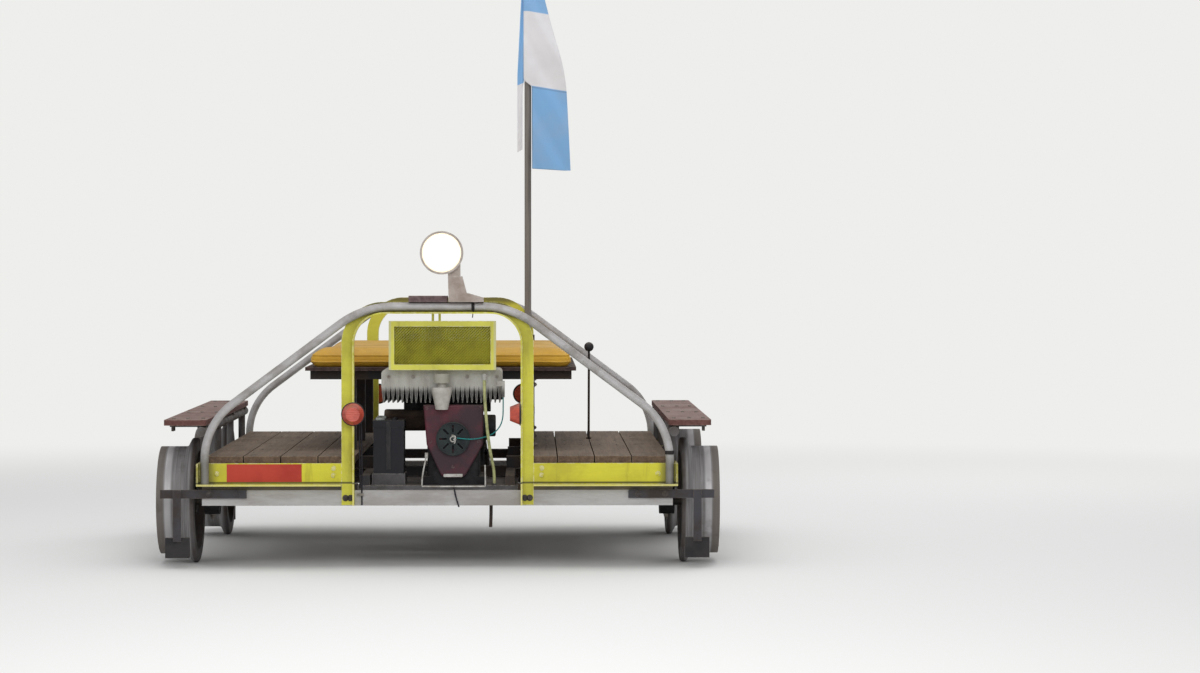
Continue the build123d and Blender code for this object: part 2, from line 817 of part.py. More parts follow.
# Engine block: crankcase on a broad base, with the barrel that carries the finned cover
with BuildPart() as block:
    block_x = (engine_x - block_half_width, engine_x + block_half_width)
    base_top = sill_bottom + block_base_height
    bar(block_x, (engine_front, engine_rear), (base_top, block_top))
    fillet(block.edges().filter_by(Axis.Z), radius=block_round)
    base_x = (block_x[0] - block_round, block_x[1] + block_round)
    bar(base_x, (engine_front, engine_rear), (sill_bottom, base_top))
    barrel_x = (engine_x - barrel_half_width, engine_x + barrel_half_width)
    barrel_front = engine_front + barrel_offset
    barrel_rear = barrel_front + barrel_length
    bar(barrel_x, (barrel_front, barrel_rear), (block_top, cover_band_bottom))
write_piece(block, "engine_block")

# Finned cover: a cast band with a comb of pointed fins below it, open round the barrel
fin_pitch = (cover_right - cover_left) / fin_count
comb = [(cover_right, cover_top), (cover_left, cover_top)]
for fin in range(fin_count):
    fin_left = cover_left + fin * fin_pitch
    shoulder = fin_pitch * fin_gap_share
    comb.append((fin_left, cover_band_bottom))
    comb.append((fin_left + fin_pitch / 2 - shoulder, fin_tip))
    comb.append((fin_left + fin_pitch / 2 + shoulder, fin_tip))
comb.append((cover_right, cover_band_bottom))
with BuildPart() as cover:
    with BuildSketch(upright_plane(engine_front)) as cover_section:
        with BuildLine():
            Polyline(comb, close=True)
        make_face()
        shoulders = cover_section.vertices().filter_by(lambda corner: corner.Y > cover_band_bottom)
        fillet(shoulders, radius=cover_round)
    extrude(amount=engine_front - engine_rear)
    space = barrel_clearance
    space_x = (barrel_x[0] - space, barrel_x[1] + space)
    space_y = (barrel_front - space, barrel_rear + space)
    bar(space_x, space_y, (fin_tip - space, cover_band_bottom), mode=Mode.SUBTRACT)
    tail_x, tail_y, tail_z = hose_route[0]
    elbow_z = cover_top - hose_elbow_drop
    rod((tail_x, engine_front, elbow_z), (tail_x, tail_y, elbow_z), hose_tail_radius)
    rod((tail_x, tail_y, elbow_z), (tail_x, tail_y, tail_z), hose_tail_radius)
    eye_x, eye_y, eye_z = starter_cord_route[-1]
    tab_y = (engine_front + cord_eye_tab, eye_y - cord_eye_radius)
    tab_z = (cover_band_bottom, cover_band_bottom + cord_eye_tab)
    bar((cover_right - cord_eye_tab, eye_x + cord_eye_radius), tab_y, tab_z)
    rod((eye_x, eye_y, eye_z), (eye_x, eye_y, cover_band_bottom + cord_eye_tab / 2), cord_eye_radius)
write_piece(cover, "engine_cover")

# Engine shroud: the red pressing over the flywheel, narrowing to a round foot
shroud_top = block_top + shroud_top_rise
shroud_waist = crank_height - shroud_waist_drop
shroud_foot = sill_bottom + shroud_foot_rise
with BuildPart() as shroud:
    with BuildSketch(upright_plane(engine_front)) as shroud_section:
        with BuildLine():
            Polyline(
                (shroud_left, shroud_top),
                (shroud_right, shroud_top),
                (shroud_waist_right, shroud_waist),
                (engine_x + shroud_foot_half_width, shroud_foot),
                (engine_x - shroud_foot_half_width, shroud_foot),
                (shroud_waist_left, shroud_waist),
                close=True,
            )
        make_face()
        foot_level = (shroud_waist + shroud_foot) / 2
        feet = shroud_section.vertices().filter_by(lambda corner: corner.Y < foot_level)
        fillet(feet, radius=shroud_foot_round)
    extrude(amount=shroud_thickness)
    fillet(shroud.faces().sort_by(Axis.Y)[0].edges(), radius=shroud_round)
write_piece(shroud, "engine_shroud")

# Recoil starter: slotted disc with a round hub
starter_back = engine_front - shroud_thickness
with BuildPart() as starter:
    with BuildSketch(upright_plane(starter_back)):
        with Locations((engine_x, crank_height)):
            Circle(starter_radius)
            with PolarLocations(starter_slot_circle_radius, starter_slots):
                SlotOverall(starter_slot_length, starter_slot_width, mode=Mode.SUBTRACT)
    extrude(amount=starter_depth)
    starter_face = starter_back - starter_depth
    with BuildSketch(upright_plane(starter_face)):
        with Locations((engine_x, crank_height)):
            Circle(starter_hub_radius)
    extrude(amount=starter_hub_depth)
write_piece(starter, "recoil_starter")

# Fuel bowl: a tapered cup with a filler cap, in front of the finned cover
bowl_y = engine_front - shroud_thickness - bowl_foot_radius - bowl_stand_off
bowl_foot = cover_band_bottom - bowl_drop
bowl_top = bowl_foot + bowl_height
filler_foot = bowl_top + filler_neck_height
filler_top = filler_foot + filler_height
with BuildPart() as bowl:
    with BuildSketch(upright_plane(bowl_y)):
        with BuildLine():
            Polyline(
                (bowl_x, bowl_foot),
                (bowl_x + bowl_foot_radius, bowl_foot),
                (bowl_x + bowl_top_radius, bowl_top - bowl_lip),
                (bowl_x + bowl_top_radius, bowl_top),
                (bowl_x + filler_neck_radius, bowl_top),
                (bowl_x + filler_neck_radius, filler_foot),
                (bowl_x + filler_radius, filler_foot),
                (bowl_x + filler_radius, filler_top),
                (bowl_x, filler_top),
                close=True,
            )
        make_face()
    revolve(axis=Axis((bowl_x, bowl_y, 0), (0, 0, 1)))
    neck_z = (filler_foot + filler_top) / 2
    rod((bowl_x, engine_front, neck_z), (bowl_x, bowl_y, neck_z), bowl_neck_radius)
write_piece(bowl, "fuel_bowl")

# Silencer beside the engine, with its tail pipe turned down
with BuildPart() as muffler:
    neck_x = engine_x - block_half_width
    muffler_y = engine_front + muffler_offset
    muffler_height = crank_height + muffler_rise
    tail_pipe_foot = sill_bottom + tail_pipe_rise
    drum_x = neck_x - muffler_neck
    drum_end = drum_x - muffler_length
    rod((drum_end, muffler_y, muffler_height), (drum_x, muffler_y, muffler_height), muffler_radius)
    fillet(muffler.edges().filter_by(GeomType.CIRCLE), radius=muffler_round)
    rod((drum_x - muffler_neck, muffler_y, muffler_height), (neck_x, muffler_y, muffler_height), pipe_radius)
    tail_x = drum_end + muffler_radius
    rod((tail_x, muffler_y, tail_pipe_foot), (tail_x, muffler_y, muffler_height), pipe_radius)
write_piece(muffler, "silencer")

# Air cleaner drum on the other side of the engine
with BuildPart() as cleaner:
    cleaner_x = engine_x + block_half_width
    cleaner_y = engine_front + cleaner_offset
    cleaner_height = crank_height + cleaner_rise
    cleaner_end = (cleaner_x + cleaner_length, cleaner_y, cleaner_height)
    rod((cleaner_x, cleaner_y, cleaner_height), cleaner_end, cleaner_radius)
    fillet(cleaner.faces().sort_by(Axis.X)[-1].edges(), radius=cleaner_round)
write_piece(cleaner, "air_cleaner")

# Gearbox: a right-angle box with its input from the engine and its output to the pulley
with BuildPart() as gearbox:
    box_x = (engine_x - gearbox_half_width, engine_x + gearbox_half_width)
    box_z = (sill_bottom, crank_height + gearbox_top_rise)
    bar(box_x, (gearbox_front, gearbox_front + gearbox_length), box_z)
    fillet(gearbox.edges().filter_by(Axis.Z), radius=gearbox_round)
    fillet(gearbox.faces().sort_by(Axis.Z)[-1].edges(), radius=gearbox_round / 2)
    input_start = (engine_x, engine_rear, crank_height)
    rod(input_start, (engine_x, gearbox_front + gearbox_round, crank_height), input_shaft_radius)
    output_start = (engine_x, output_y, crank_height)
    output_end = (pulley_x + pulley_width / 2, output_y, crank_height)
    rod(output_start, output_end, output_shaft_radius)
write_piece(gearbox, "gearbox")

# Battery and its tray
battery_front = engine_front
battery_rear = engine_front + battery_length
with BuildPart() as tray:
    tray_x = (battery_left - tray_margin, battery_right + tray_margin)
    tray_y = (battery_front, battery_rear + tray_margin)
    tray_top = sill_bottom + tray_height
    bar(tray_x, tray_y, (sill_bottom, tray_top))
    hollow_x = (tray_x[0] + tray_wall, tray_x[1] - tray_wall)
    hollow_y = (tray_y[0] + tray_wall, tray_y[1] + tray_wall)
    bar(hollow_x, hollow_y, (sill_bottom, tray_top - tray_wall), mode=Mode.SUBTRACT)
write_piece(tray, "battery_tray")
with BuildPart() as battery:
    battery_top = tray_top + battery_height
    case_top = battery_top - battery_lid_height
    bar((battery_left, battery_right), (battery_front, battery_rear), (tray_top, case_top))
    lid_x = (battery_left - battery_lid_inset, battery_right + battery_lid_inset)
    lid_y = (battery_front - battery_lid_inset, battery_rear + battery_lid_inset)
    bar(lid_x, lid_y, (case_top, battery_top))
    for terminal_y in (battery_front, battery_rear):
        towards = terminal_inset if terminal_y == battery_front else -terminal_inset
        terminal_x = battery_left + terminal_inset
        post_foot = (terminal_x, terminal_y + towards, battery_top)
        post_head = (terminal_x, terminal_y + towards, battery_top + terminal_height)
        rod(post_foot, post_head, terminal_radius)
write_piece(battery, "battery")

# Grille panel: a hung frame with a mesh, standing on the finned cover
grille_top = arch_inner_top - stud_length
grille_outer_y = -(web_outer_y + grille_stand_off)
grille_x = (grille_left + grille_right) / 2
grille_z = (cover_top + grille_top) / 2
grille_width = grille_right - grille_left
grille_height = grille_top - cover_top
mesh_width = grille_width - 2 * grille_border
mesh_height = grille_height - 2 * grille_border
mesh_back = grille_outer_y + grille_depth / 2 + mesh_thickness / 2
with BuildPart() as grille:
    with BuildSketch(upright_plane(grille_outer_y + grille_depth)):
        with Locations((grille_x, grille_z)):
            Rectangle(grille_width, grille_height)
            Rectangle(mesh_width, mesh_height, mode=Mode.SUBTRACT)
    extrude(amount=grille_depth)
    for place in stud_places:
        stud_y = grille_outer_y + grille_depth / 2
        rod((place, stud_y, grille_top), (place, stud_y, arch_inner_top), stud_radius)
write_piece(grille, "grille_frame")
with BuildPart() as mesh:
    with BuildSketch(upright_plane(mesh_back)):
        with Locations((grille_x, grille_z)):
            Rectangle(mesh_width, mesh_height)
            columns = int(mesh_width // mesh_pitch)
            rows = int(mesh_height // mesh_pitch)
            with GridLocations(mesh_pitch, mesh_pitch, columns, rows):
                Rectangle(mesh_hole, mesh_hole, mode=Mode.SUBTRACT)
    extrude(amount=mesh_thickness)
write_piece(mesh, "grille_mesh")

# Headlamp: spun bowl with a rim, and a lug on the bracket
lamp_height = arch_top + lamp_rise
lamp_front = -(frame_half_length + lamp_reach)
lamp_axis = Axis((lamp_x, 0, lamp_height), (0, 1, 0))
lamp_plane = Plane(origin=(lamp_x, 0, lamp_height), x_dir=(0, 1, 0), z_dir=(1, 0, 0))
rim_back = lamp_front + lamp_rim_depth
bowl_back = rim_back + lamp_bowl_depth
with BuildPart() as lamp:
    with BuildSketch(lamp_plane):
        with BuildLine():
            Line((lamp_front, lens_radius + fit_gap), (lamp_front, lamp_radius))
            Line((lamp_front, lamp_radius), (rim_back, lamp_radius))
            waist = (rim_back + lamp_waist_depth, lamp_waist_radius)
            ThreePointArc((rim_back, lamp_radius), waist, (bowl_back, lamp_back_radius))
            Line((bowl_back, lamp_back_radius), (bowl_back, 0))
            Line((bowl_back, 0), (rim_back, 0))
            Line((rim_back, 0), (rim_back, lens_radius + fit_gap))
            Line((rim_back, lens_radius + fit_gap), (lamp_front, lens_radius + fit_gap))
        make_face()
    revolve(axis=lamp_axis)
    lug_foot = lamp_height - lamp_radius - lug_drop
    lug_x = (lamp_x + lug_offset, lamp_x + lug_offset + lug_width)
    lug_y = (rim_back, rim_back + lug_depth)
    lug_top = lamp_height - lamp_radius / 2
    bar(lug_x, lug_y, (lug_foot, lug_top))
write_piece(lamp, "headlamp_bowl")
with BuildPart() as lens:
    with BuildSketch(lamp_plane):
        with BuildLine():
            Line((rim_back, 0), (lamp_front - lens_rise, 0))
            ThreePointArc(
                (lamp_front - lens_rise, 0),
                (lamp_front - lens_middle_rise, lens_radius / 2),
                (lamp_front, lens_radius),
            )
            Line((lamp_front, lens_radius), (rim_back, lens_radius))
            Line((rim_back, lens_radius), (rim_back, 0))
        make_face()
    revolve(axis=lamp_axis)
write_piece(lens, "headlamp_lens")

# Lamp bracket and the wooden block beside it, on top of the front arch
with BuildPart() as bracket:
    shelf = arch_top + bracket_foot_height
    with BuildSketch(upright_plane(-web_inner_y)):
        with BuildLine():
            Polyline(
                (lug_x[0], lug_foot),
                (lug_x[1] + lug_drop, lug_foot),
                (lug_x[0] + bracket_neck_width, arch_top + bracket_neck_height),
                (bracket_foot_right, shelf),
                (bracket_foot_right, arch_top),
                (bracket_foot_left, arch_top),
                (bracket_foot_left, shelf),
                close=True,
            )
        make_face()
    extrude(amount=-web_inner_y - rim_back)
write_piece(bracket, "lamp_bracket")
with BuildPart() as lamp_block:
    block_y = (-web_inner_y + bracket_foot_height, -web_inner_y + bracket_foot_height - lamp_block_depth)
    block_right = bracket_foot_left - lamp_block_gap
    block_x = (block_right - lamp_block_width, block_right)
    bar(block_x, block_y, (arch_top, arch_top + lamp_block_height))
    fillet(lamp_block.edges().filter_by(Axis.Z), radius=lamp_block_round)
write_piece(lamp_block, "lamp_block")

# Marker lamps on the flanges of both arches; the one at the front right faces inwards
marker_x = arch_inner + end_sill_thickness / 2
marker_height = sill_top + marker_rise
with BuildPart() as markers:
    for end_name, end in ends:
        for side_name, side in sides:
            foot = (side * marker_x, end * frame_half_length, marker_height)
            facing = (0, end, 0)
            if end_name == "front" and side_name == "right":
                foot = (arch_inner, end_sill_leg / 2 - frame_half_length, marker_height)
                facing = (-1, 0, 0)
            lamp_base = Plane(origin=foot, z_dir=facing)
            with BuildSketch(lamp_base):
                Circle(marker_radius)
            with BuildSketch(lamp_base.offset(marker_depth)):
                Circle(marker_nose_radius)
            loft()
write_piece(markers, "marker_lamps")

# Brake gear: a cross shaft under the side sills with a shoe before each rear wheel
wheel_y = wheelbase / 2
shaft_z = sill_bottom - bed_thickness - brake_shaft_radius
shoe_x = (tread_inner + tread_outer) / 2
shoe_inner = tread_radius + shoe_gap
shoe_outer = shoe_inner + shoe_thickness
with BuildPart() as brake_gear:
    shaft_end = shoe_x + shoe_width / 2
    rod((-shaft_end, brake_shaft_y, shaft_z), (shaft_end, brake_shaft_y, shaft_z), brake_shaft_radius)
    for side_name, side in sides:
        shoe_start = side * shoe_x - shoe_width / 2
        with BuildSketch(Plane.YZ.offset(shoe_start)):
            with Locations((wheel_y, axle_height)):
                Circle(shoe_outer)
                Circle(shoe_inner, mode=Mode.SUBTRACT)
            reach = 2 * shoe_outer
            rise = reach * tan(radians(shoe_angle / 2))
            with BuildLine():
                Polyline(
                    (wheel_y, axle_height),
                    (wheel_y - reach, axle_height + rise),
                    (wheel_y - reach, axle_height - rise),
                    close=True,
                )
            make_face(mode=Mode.INTERSECT)
        extrude(amount=shoe_width)
        arm_x = (side * shoe_x - brake_arm_thickness / 2, side * shoe_x + brake_arm_thickness / 2)
        arm_z = (axle_height - brake_arm_height / 2, shaft_z)
        arm_y = (brake_shaft_y, wheel_y - shoe_outer + shoe_thickness / 2)
        bar(arm_x, arm_y, arm_z)
        hanger_start = frame_half_width - side_sill_leg
        hanger_x = (side * hanger_start, side * (hanger_start + brake_hanger_length))
        half_hanger = brake_hanger_width / 2
        hanger_y = (brake_shaft_y - half_hanger, brake_shaft_y + half_hanger)
        bar(hanger_x, hanger_y, (shaft_z, sill_bottom))
write_piece(brake_gear, "brake_gear")

# Brake lever: a flat bar up through the right deck, with a round knob
with BuildPart() as lever:
    lever_half = lever_width / 2
    lever_foot = shaft_z + brake_shaft_radius + fit_gap
    lever_top = lever_foot + lever_length
    with BuildSketch(Plane.YZ.offset(lever_x - lever_thickness / 2)):
        with BuildLine():
            Polyline(
                (brake_shaft_y - lever_half, lever_foot),
                (brake_shaft_y + lever_half, lever_foot),
                (brake_shaft_y - lever_lean_offset + lever_half / 2, lever_top),
                (brake_shaft_y - lever_lean_offset - lever_half / 2, lever_top),
                close=True,
            )
        make_face()
    extrude(amount=lever_thickness)
    with Locations((lever_x, brake_shaft_y - lever_lean_offset, lever_top)):
        Sphere(knob_radius)
write_piece(lever, "brake_lever")

# Flag pole, its clamps on the rear arch, and the flag with its turn round the pole
pole_y = web_inner_y - tube_gap - pole_radius
with BuildPart() as pole:
    rod((pole_x, pole_y, deck_top), (pole_x, pole_y, pole_top), pole_radius)
    fillet(pole.faces().sort_by(Axis.Z)[-1].edges(), radius=pole_radius / 2)
write_piece(pole, "flag_pole")
with BuildPart() as clamps:
    for clamp_z in (deck_top + clamp_lower_rise, arch_top - clamp_upper_drop):
        clamp_x = (pole_x - clamp_width / 2, pole_x + clamp_width / 2)
        clamp_y = (pole_y - pole_radius - clamp_wall, web_inner_y)
        bar(clamp_x, clamp_y, (clamp_z, clamp_z + clamp_height))
    rod((pole_x, pole_y, deck_top), (pole_x, pole_y, arch_top), pole_radius + fit_gap, mode=Mode.SUBTRACT)
write_piece(clamps, "pole_clamps")
with BuildPart() as flag:
    hoist_x = pole_x + pole_radius + flag_gap
    flag_top = pole_top - flag_top_gap
    flag_foot = flag_top - flag_hoist
    with BuildSketch(upright_plane(pole_y + flag_depth / 2)):
        with BuildLine():
            Polyline(
                (hoist_x, flag_top),
                (pole_x + flag_top_reach, flag_top),
                (pole_x + flag_middle_reach, flag_top - flag_middle_drop),
                (pole_x + flag_foot_reach, flag_foot),
                (hoist_x, flag_foot),
                close=True,
            )
        make_face()
    extrude(amount=flag_depth)
    strip_x = pole_x - flag_strip_reach
    strip_foot = flag_foot + flag_strip_rise
    with BuildSketch(upright_plane(pole_y - flag_depth / 2 + flag_wrap_depth)):
        with BuildLine():
            Polyline(
                (strip_x, flag_top - flag_wrap_drop),
                (hoist_x, flag_top - flag_wrap_drop),
                (hoist_x, flag_top - flag_wrap_foot_drop),
                (strip_x + flag_strip_width, flag_top - flag_wrap_foot_drop),
                (strip_x + flag_strip_width, strip_foot),
                (strip_x, strip_foot),
                close=True,
            )
        make_face()
    extrude(amount=flag_wrap_depth)
write_piece(flag, "flag")

# Fuel hose and starter cord
cords = (
    ("fuel_hose", hose_route, hose_diameter),
    ("starter_cord", starter_cord_route, starter_cord_diameter),
)
for name, route, diameter in cords:
    bends = cord_radii(route)
    print(name, "bends", [round(bend) for bend in bends])
    with BuildPart() as cord:
        with BuildLine() as cord_path:
            FilletPolyline(*route, radius=bends)
        with BuildSketch(Plane(origin=cord_path.line @ 0, z_dir=cord_path.line % 0)):
            Circle(diameter / 2)
        sweep(path=cord_path.line)
    length = sum(edge.length for edge in cord_path.edges())
    print(name, "length", round(length), "volume", round(cord.part.volume))
    write_piece(cord, name)
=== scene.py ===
import bpy, bmesh
from math import cos, pi, radians, sin, tau
from mathutils import Matrix, Vector, noise


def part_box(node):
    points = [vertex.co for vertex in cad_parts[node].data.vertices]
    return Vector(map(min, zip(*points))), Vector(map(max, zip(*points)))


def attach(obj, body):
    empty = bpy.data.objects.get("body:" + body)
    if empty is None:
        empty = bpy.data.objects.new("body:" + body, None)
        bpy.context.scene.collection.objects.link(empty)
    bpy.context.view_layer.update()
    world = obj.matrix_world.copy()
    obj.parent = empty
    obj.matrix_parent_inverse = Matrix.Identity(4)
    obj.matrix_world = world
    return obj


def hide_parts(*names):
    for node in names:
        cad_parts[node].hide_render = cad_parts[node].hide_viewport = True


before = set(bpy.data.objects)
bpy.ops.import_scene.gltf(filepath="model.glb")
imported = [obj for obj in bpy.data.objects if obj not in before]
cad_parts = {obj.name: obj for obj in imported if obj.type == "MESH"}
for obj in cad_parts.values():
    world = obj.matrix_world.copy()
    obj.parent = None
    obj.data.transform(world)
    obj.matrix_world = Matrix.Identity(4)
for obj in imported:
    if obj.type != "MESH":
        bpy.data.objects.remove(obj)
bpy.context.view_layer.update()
scene = bpy.context.scene

# Studio: a plain pale floor that fades into the pale backdrop, with broad soft lights above, in
# front and behind, and a long lens that stands in front of the trolley, a little to its right
# and about as high as its arch.
camera = bpy.data.objects.new("camera", bpy.data.cameras.new("camera"))
scene.collection.objects.link(camera)
camera.location = (0.310, -11.575, 0.976)
degrees_down, degrees_right = 1.187, 1.161
camera.rotation_euler = (radians(90 - degrees_down), 0, radians(-degrees_right))
camera.data.lens = 99.18
camera.data.sensor_width = 36
scene.camera = camera
scene.view_settings.view_transform = "Standard"


def link(tree, value, socket):
    """Joins an output to a socket, or sets the socket's own value."""
    if isinstance(value, bpy.types.NodeSocket):
        tree.links.new(value, socket)
    else:
        socket.default_value = value


def wire(tree, kind, inputs=None, family="ShaderNode", **settings):
    """One node with its settings and its inputs, each a plain value or another node's output."""
    made = tree.nodes.new(family + kind)
    for key, value in settings.items():
        setattr(made, key, value)
    for key, value in (inputs or {}).items():
        link(tree, value, made.inputs[key])
    return made


def sums(tree, operation, *values, clamp=False):
    """One Math node; returns its value."""
    return wire(tree, "Math", dict(enumerate(values)), operation=operation, use_clamp=clamp).outputs[0]


def times(tree, first, *others, clamp=False):
    """The product of masks and numbers."""
    for other in others:
        first = sums(tree, "MULTIPLY", first, other, clamp=clamp)
    return first


def spread(tree, value, low, high, start=0.0, end=1.0):
    """A value's range low to high carried smoothly to start to end."""
    settings = {"From Min": low, "From Max": high, "To Min": start, "To Max": end}
    return wire(tree, "MapRange", {"Value": value, **settings}, interpolation_type="SMOOTHSTEP").outputs[0]


def rgb(*channels):
    """A colour as a picture shows it, 0 to 255, as the linear values that a shader takes."""
    shares = [channel / 255 for channel in channels]
    return (*(share / 12.92 if share < 0.0405 else ((share + 0.055) / 1.055) ** 2.4 for share in shares), 1.0)


pale = rgb(238, 238, 236)
world = bpy.data.worlds.new("overcast")
scene.world = world
world.use_nodes = True
tree = world.node_tree
tree.nodes.clear()
ray = wire(tree, "LightPath").outputs
seen = sums(tree, "MAXIMUM", ray["Is Camera Ray"], ray["Is Transmission Ray"])
lit = wire(tree, "Background", {"Color": rgb(232, 233, 235), "Strength": 0.80}).outputs[0]
glossed = wire(tree, "Background", {"Color": pale, "Strength": 0.45}).outputs[0]
shown = wire(tree, "Background", {"Color": pale, "Strength": 1.0}).outputs[0]
lighting = wire(tree, "MixShader", {0: ray["Is Glossy Ray"], 1: lit, 2: glossed}).outputs[0]
either = wire(tree, "MixShader", {0: seen, 1: lighting, 2: shown}).outputs[0]
wire(tree, "OutputWorld", {0: either})

floor_half, fade_from, fade_to = 30.0, 2.2, 7.5
floor_mesh = bpy.data.meshes.new("floor")
corners = [(-floor_half, -floor_half, 0), (floor_half, -floor_half, 0), (floor_half, floor_half, 0),
           (-floor_half, floor_half, 0)]
floor_mesh.from_pydata(corners, [], [(0, 1, 2, 3)])
floor = bpy.data.objects.new("floor", floor_mesh)
scene.collection.objects.link(floor)
paper = bpy.data.materials.new("studio_floor")
paper.use_nodes = True
tree = paper.node_tree
tree.nodes.clear()
ray = wire(tree, "LightPath").outputs
place = wire(tree, "TexCoord").outputs["Object"]
distance = wire(tree, "VectorMath", {0: place}, operation="LENGTH").outputs["Value"]
fade = times(tree, spread(tree, distance, fade_from, fade_to), ray["Is Camera Ray"])
matte = wire(tree, "BsdfDiffuse", {"Color": rgb(226, 226, 224)}).outputs[0]
glow = wire(tree, "Emission", {"Color": pale, "Strength": 1.0}).outputs[0]
both = wire(tree, "MixShader", {0: fade, 1: matte, 2: glow}).outputs[0]
wire(tree, "OutputMaterial", {0: both})
floor_mesh.materials.append(paper)

for name, spot, aim, size, power in (
    ("sky_light", (0.0, -0.6, 4.6), (0, 0, 0), 4.5, 70),
    ("front_light", (0.2, -5.6, 2.6), (0, -0.4, 0.3), 3.0, 88),
    ("rear_light", (2.8, 4.2, 3.2), (0, 0.4, 0.4), 3.0, 50),
):
    lamp = bpy.data.lights.new(name, "AREA")
    lamp.shape = "DISK"
    lamp.size = size
    lamp.energy = power
    light = bpy.data.objects.new(name, lamp)
    light.location = spot
    light.rotation_euler = (Vector(aim) - Vector(spot)).to_track_quat("-Z", "Y").to_euler()
    scene.collection.objects.link(light)

# Wheels and axles: steel discs with turned treads, pressed on plain round bars and bolted at
# the hub. Running keeps the tread bright, with fine rings and one polished band near its outer
# side; the disc and the flange are brown with rust and oil.


def new_group(name, inputs):
    """An empty shader group with named inputs that puts out one mask, and its two ends."""
    made = bpy.data.node_groups.new(name, "ShaderNodeTree")
    kinds = {float: "NodeSocketFloat", tuple: "NodeSocketVector"}
    for label, value in inputs.items():
        socket = made.interface.new_socket(label, in_out="INPUT", socket_type=kinds[type(value)])
        socket.default_value = value
    made.interface.new_socket("Mask", in_out="OUTPUT", socket_type="NodeSocketFloat")
    return made, made.nodes.new("NodeGroupInput").outputs, made.nodes.new("NodeGroupOutput").inputs["Mask"]


# Blotches: cloudy patches, drawn out along the axes that stretch is small on
blotches, given, mask = new_group("blotches", {"Scale": 6.0, "Stretch": (1.0, 1.0, 1.0), "Low": 0.4, "High": 0.6})
place = wire(blotches, "TexCoord").outputs["Object"]
place = wire(blotches, "VectorMath", {0: place, 1: given["Stretch"]}, operation="MULTIPLY").outputs[0]
cloud = wire(blotches, "TexNoise", {"Vector": place, "Scale": given["Scale"], "Detail": 7.0, "Roughness": 0.62})
link(blotches, spread(blotches, cloud.outputs[0], given["Low"], given["High"]), mask)

# Edge wear: how far a corner turns within the radius, broken up by a fine noise
edge_wear, given, mask = new_group("edge_wear", {"Radius": 0.004, "Break": 60.0, "Amount": 1.0})
rounded = wire(edge_wear, "Bevel", {"Radius": given["Radius"]}, samples=6).outputs[0]
flat = wire(edge_wear, "NewGeometry").outputs["Normal"]
turn = wire(edge_wear, "VectorMath", {0: rounded, 1: flat}, operation="DOT_PRODUCT").outputs["Value"]
place = wire(edge_wear, "TexCoord").outputs["Object"]
chips = wire(edge_wear, "TexNoise", {"Vector": place, "Scale": given["Break"], "Detail": 5.0, "Roughness": 0.7})
chips = spread(edge_wear, chips.outputs[0], 0.42, 0.56)
link(edge_wear, times(edge_wear, spread(edge_wear, turn, 0.995, 0.86), chips, given["Amount"], clamp=True), mask)

# Dust: it settles on faces that look up, thicker in patches
dust, given, mask = new_group("dust", {"Amount": 0.5, "Scale": 9.0})
up = wire(dust, "SeparateXYZ", {0: wire(dust, "NewGeometry").outputs["Normal"]}).outputs[2]
place = wire(dust, "TexCoord").outputs["Object"]
patch = wire(dust, "TexNoise", {"Vector": place, "Scale": given["Scale"], "Detail": 8.0, "Roughness": 0.7})
patch = spread(dust, patch.outputs[0], 0.3, 0.62, 0.25, 1.0)
link(dust, times(dust, spread(dust, up, 0.25, 0.95), patch, given["Amount"], clamp=True), mask)


def use(tree, group, **values):
    """Puts a shader group into a material; returns its mask."""
    made = wire(tree, "Group", node_tree=group)
    for label, value in values.items():
        link(tree, value, made.inputs[label.capitalize()])
    return made.outputs["Mask"]


def place_in(tree):
    """A point of the surface in the piece's own coordinates."""
    return wire(tree, "TexCoord").outputs["Object"]


def along_axes(tree):
    """The x, y and z of that point."""
    return wire(tree, "SeparateXYZ", {0: place_in(tree)}).outputs


def tint(tree, mask, a, b):
    """Colour a where the mask is 0 and b where it is 1."""
    return wire(tree, "Mix", {0: mask, 6: a, 7: b}, data_type="RGBA").outputs[2]


def layered(tree, colour, *coats):
    """A colour under these coats, each a mask, its strength and its own colour."""
    for mask, strength, paint in coats:
        colour = tint(tree, mask if strength == 1 else times(tree, mask, strength), colour, paint)
    return colour


def blank(name):
    """A material's node tree, to be filled in before finish."""
    made = bpy.data.materials.get(name) or bpy.data.materials.new(name)
    made.use_nodes = True
    return made.node_tree


def finish(name, colour, rough, metal=0.0, height=None, lift=0.0005, Specular_IOR_Level=0.3, **plain):
    """A material: colour and roughness from its nodes, a height for its bump, plain shader values."""
    made = bpy.data.materials[name]
    tree = made.node_tree
    sockets = tree.nodes["Principled BSDF"].inputs
    link(tree, colour, sockets["Base Color"])
    link(tree, rough, sockets["Roughness"])
    link(tree, metal, sockets["Metallic"])
    for label, value in {"Specular_IOR_Level": Specular_IOR_Level, **plain}.items():
        sockets[label.replace("_", " ")].default_value = value
    if height is not None:
        bump = wire(tree, "Bump", {"Height": height, "Distance": lift, "Strength": 1.0})
        link(tree, bump.outputs[0], sockets["Normal"])
    return made


grey_dust = rgb(140, 128, 114)


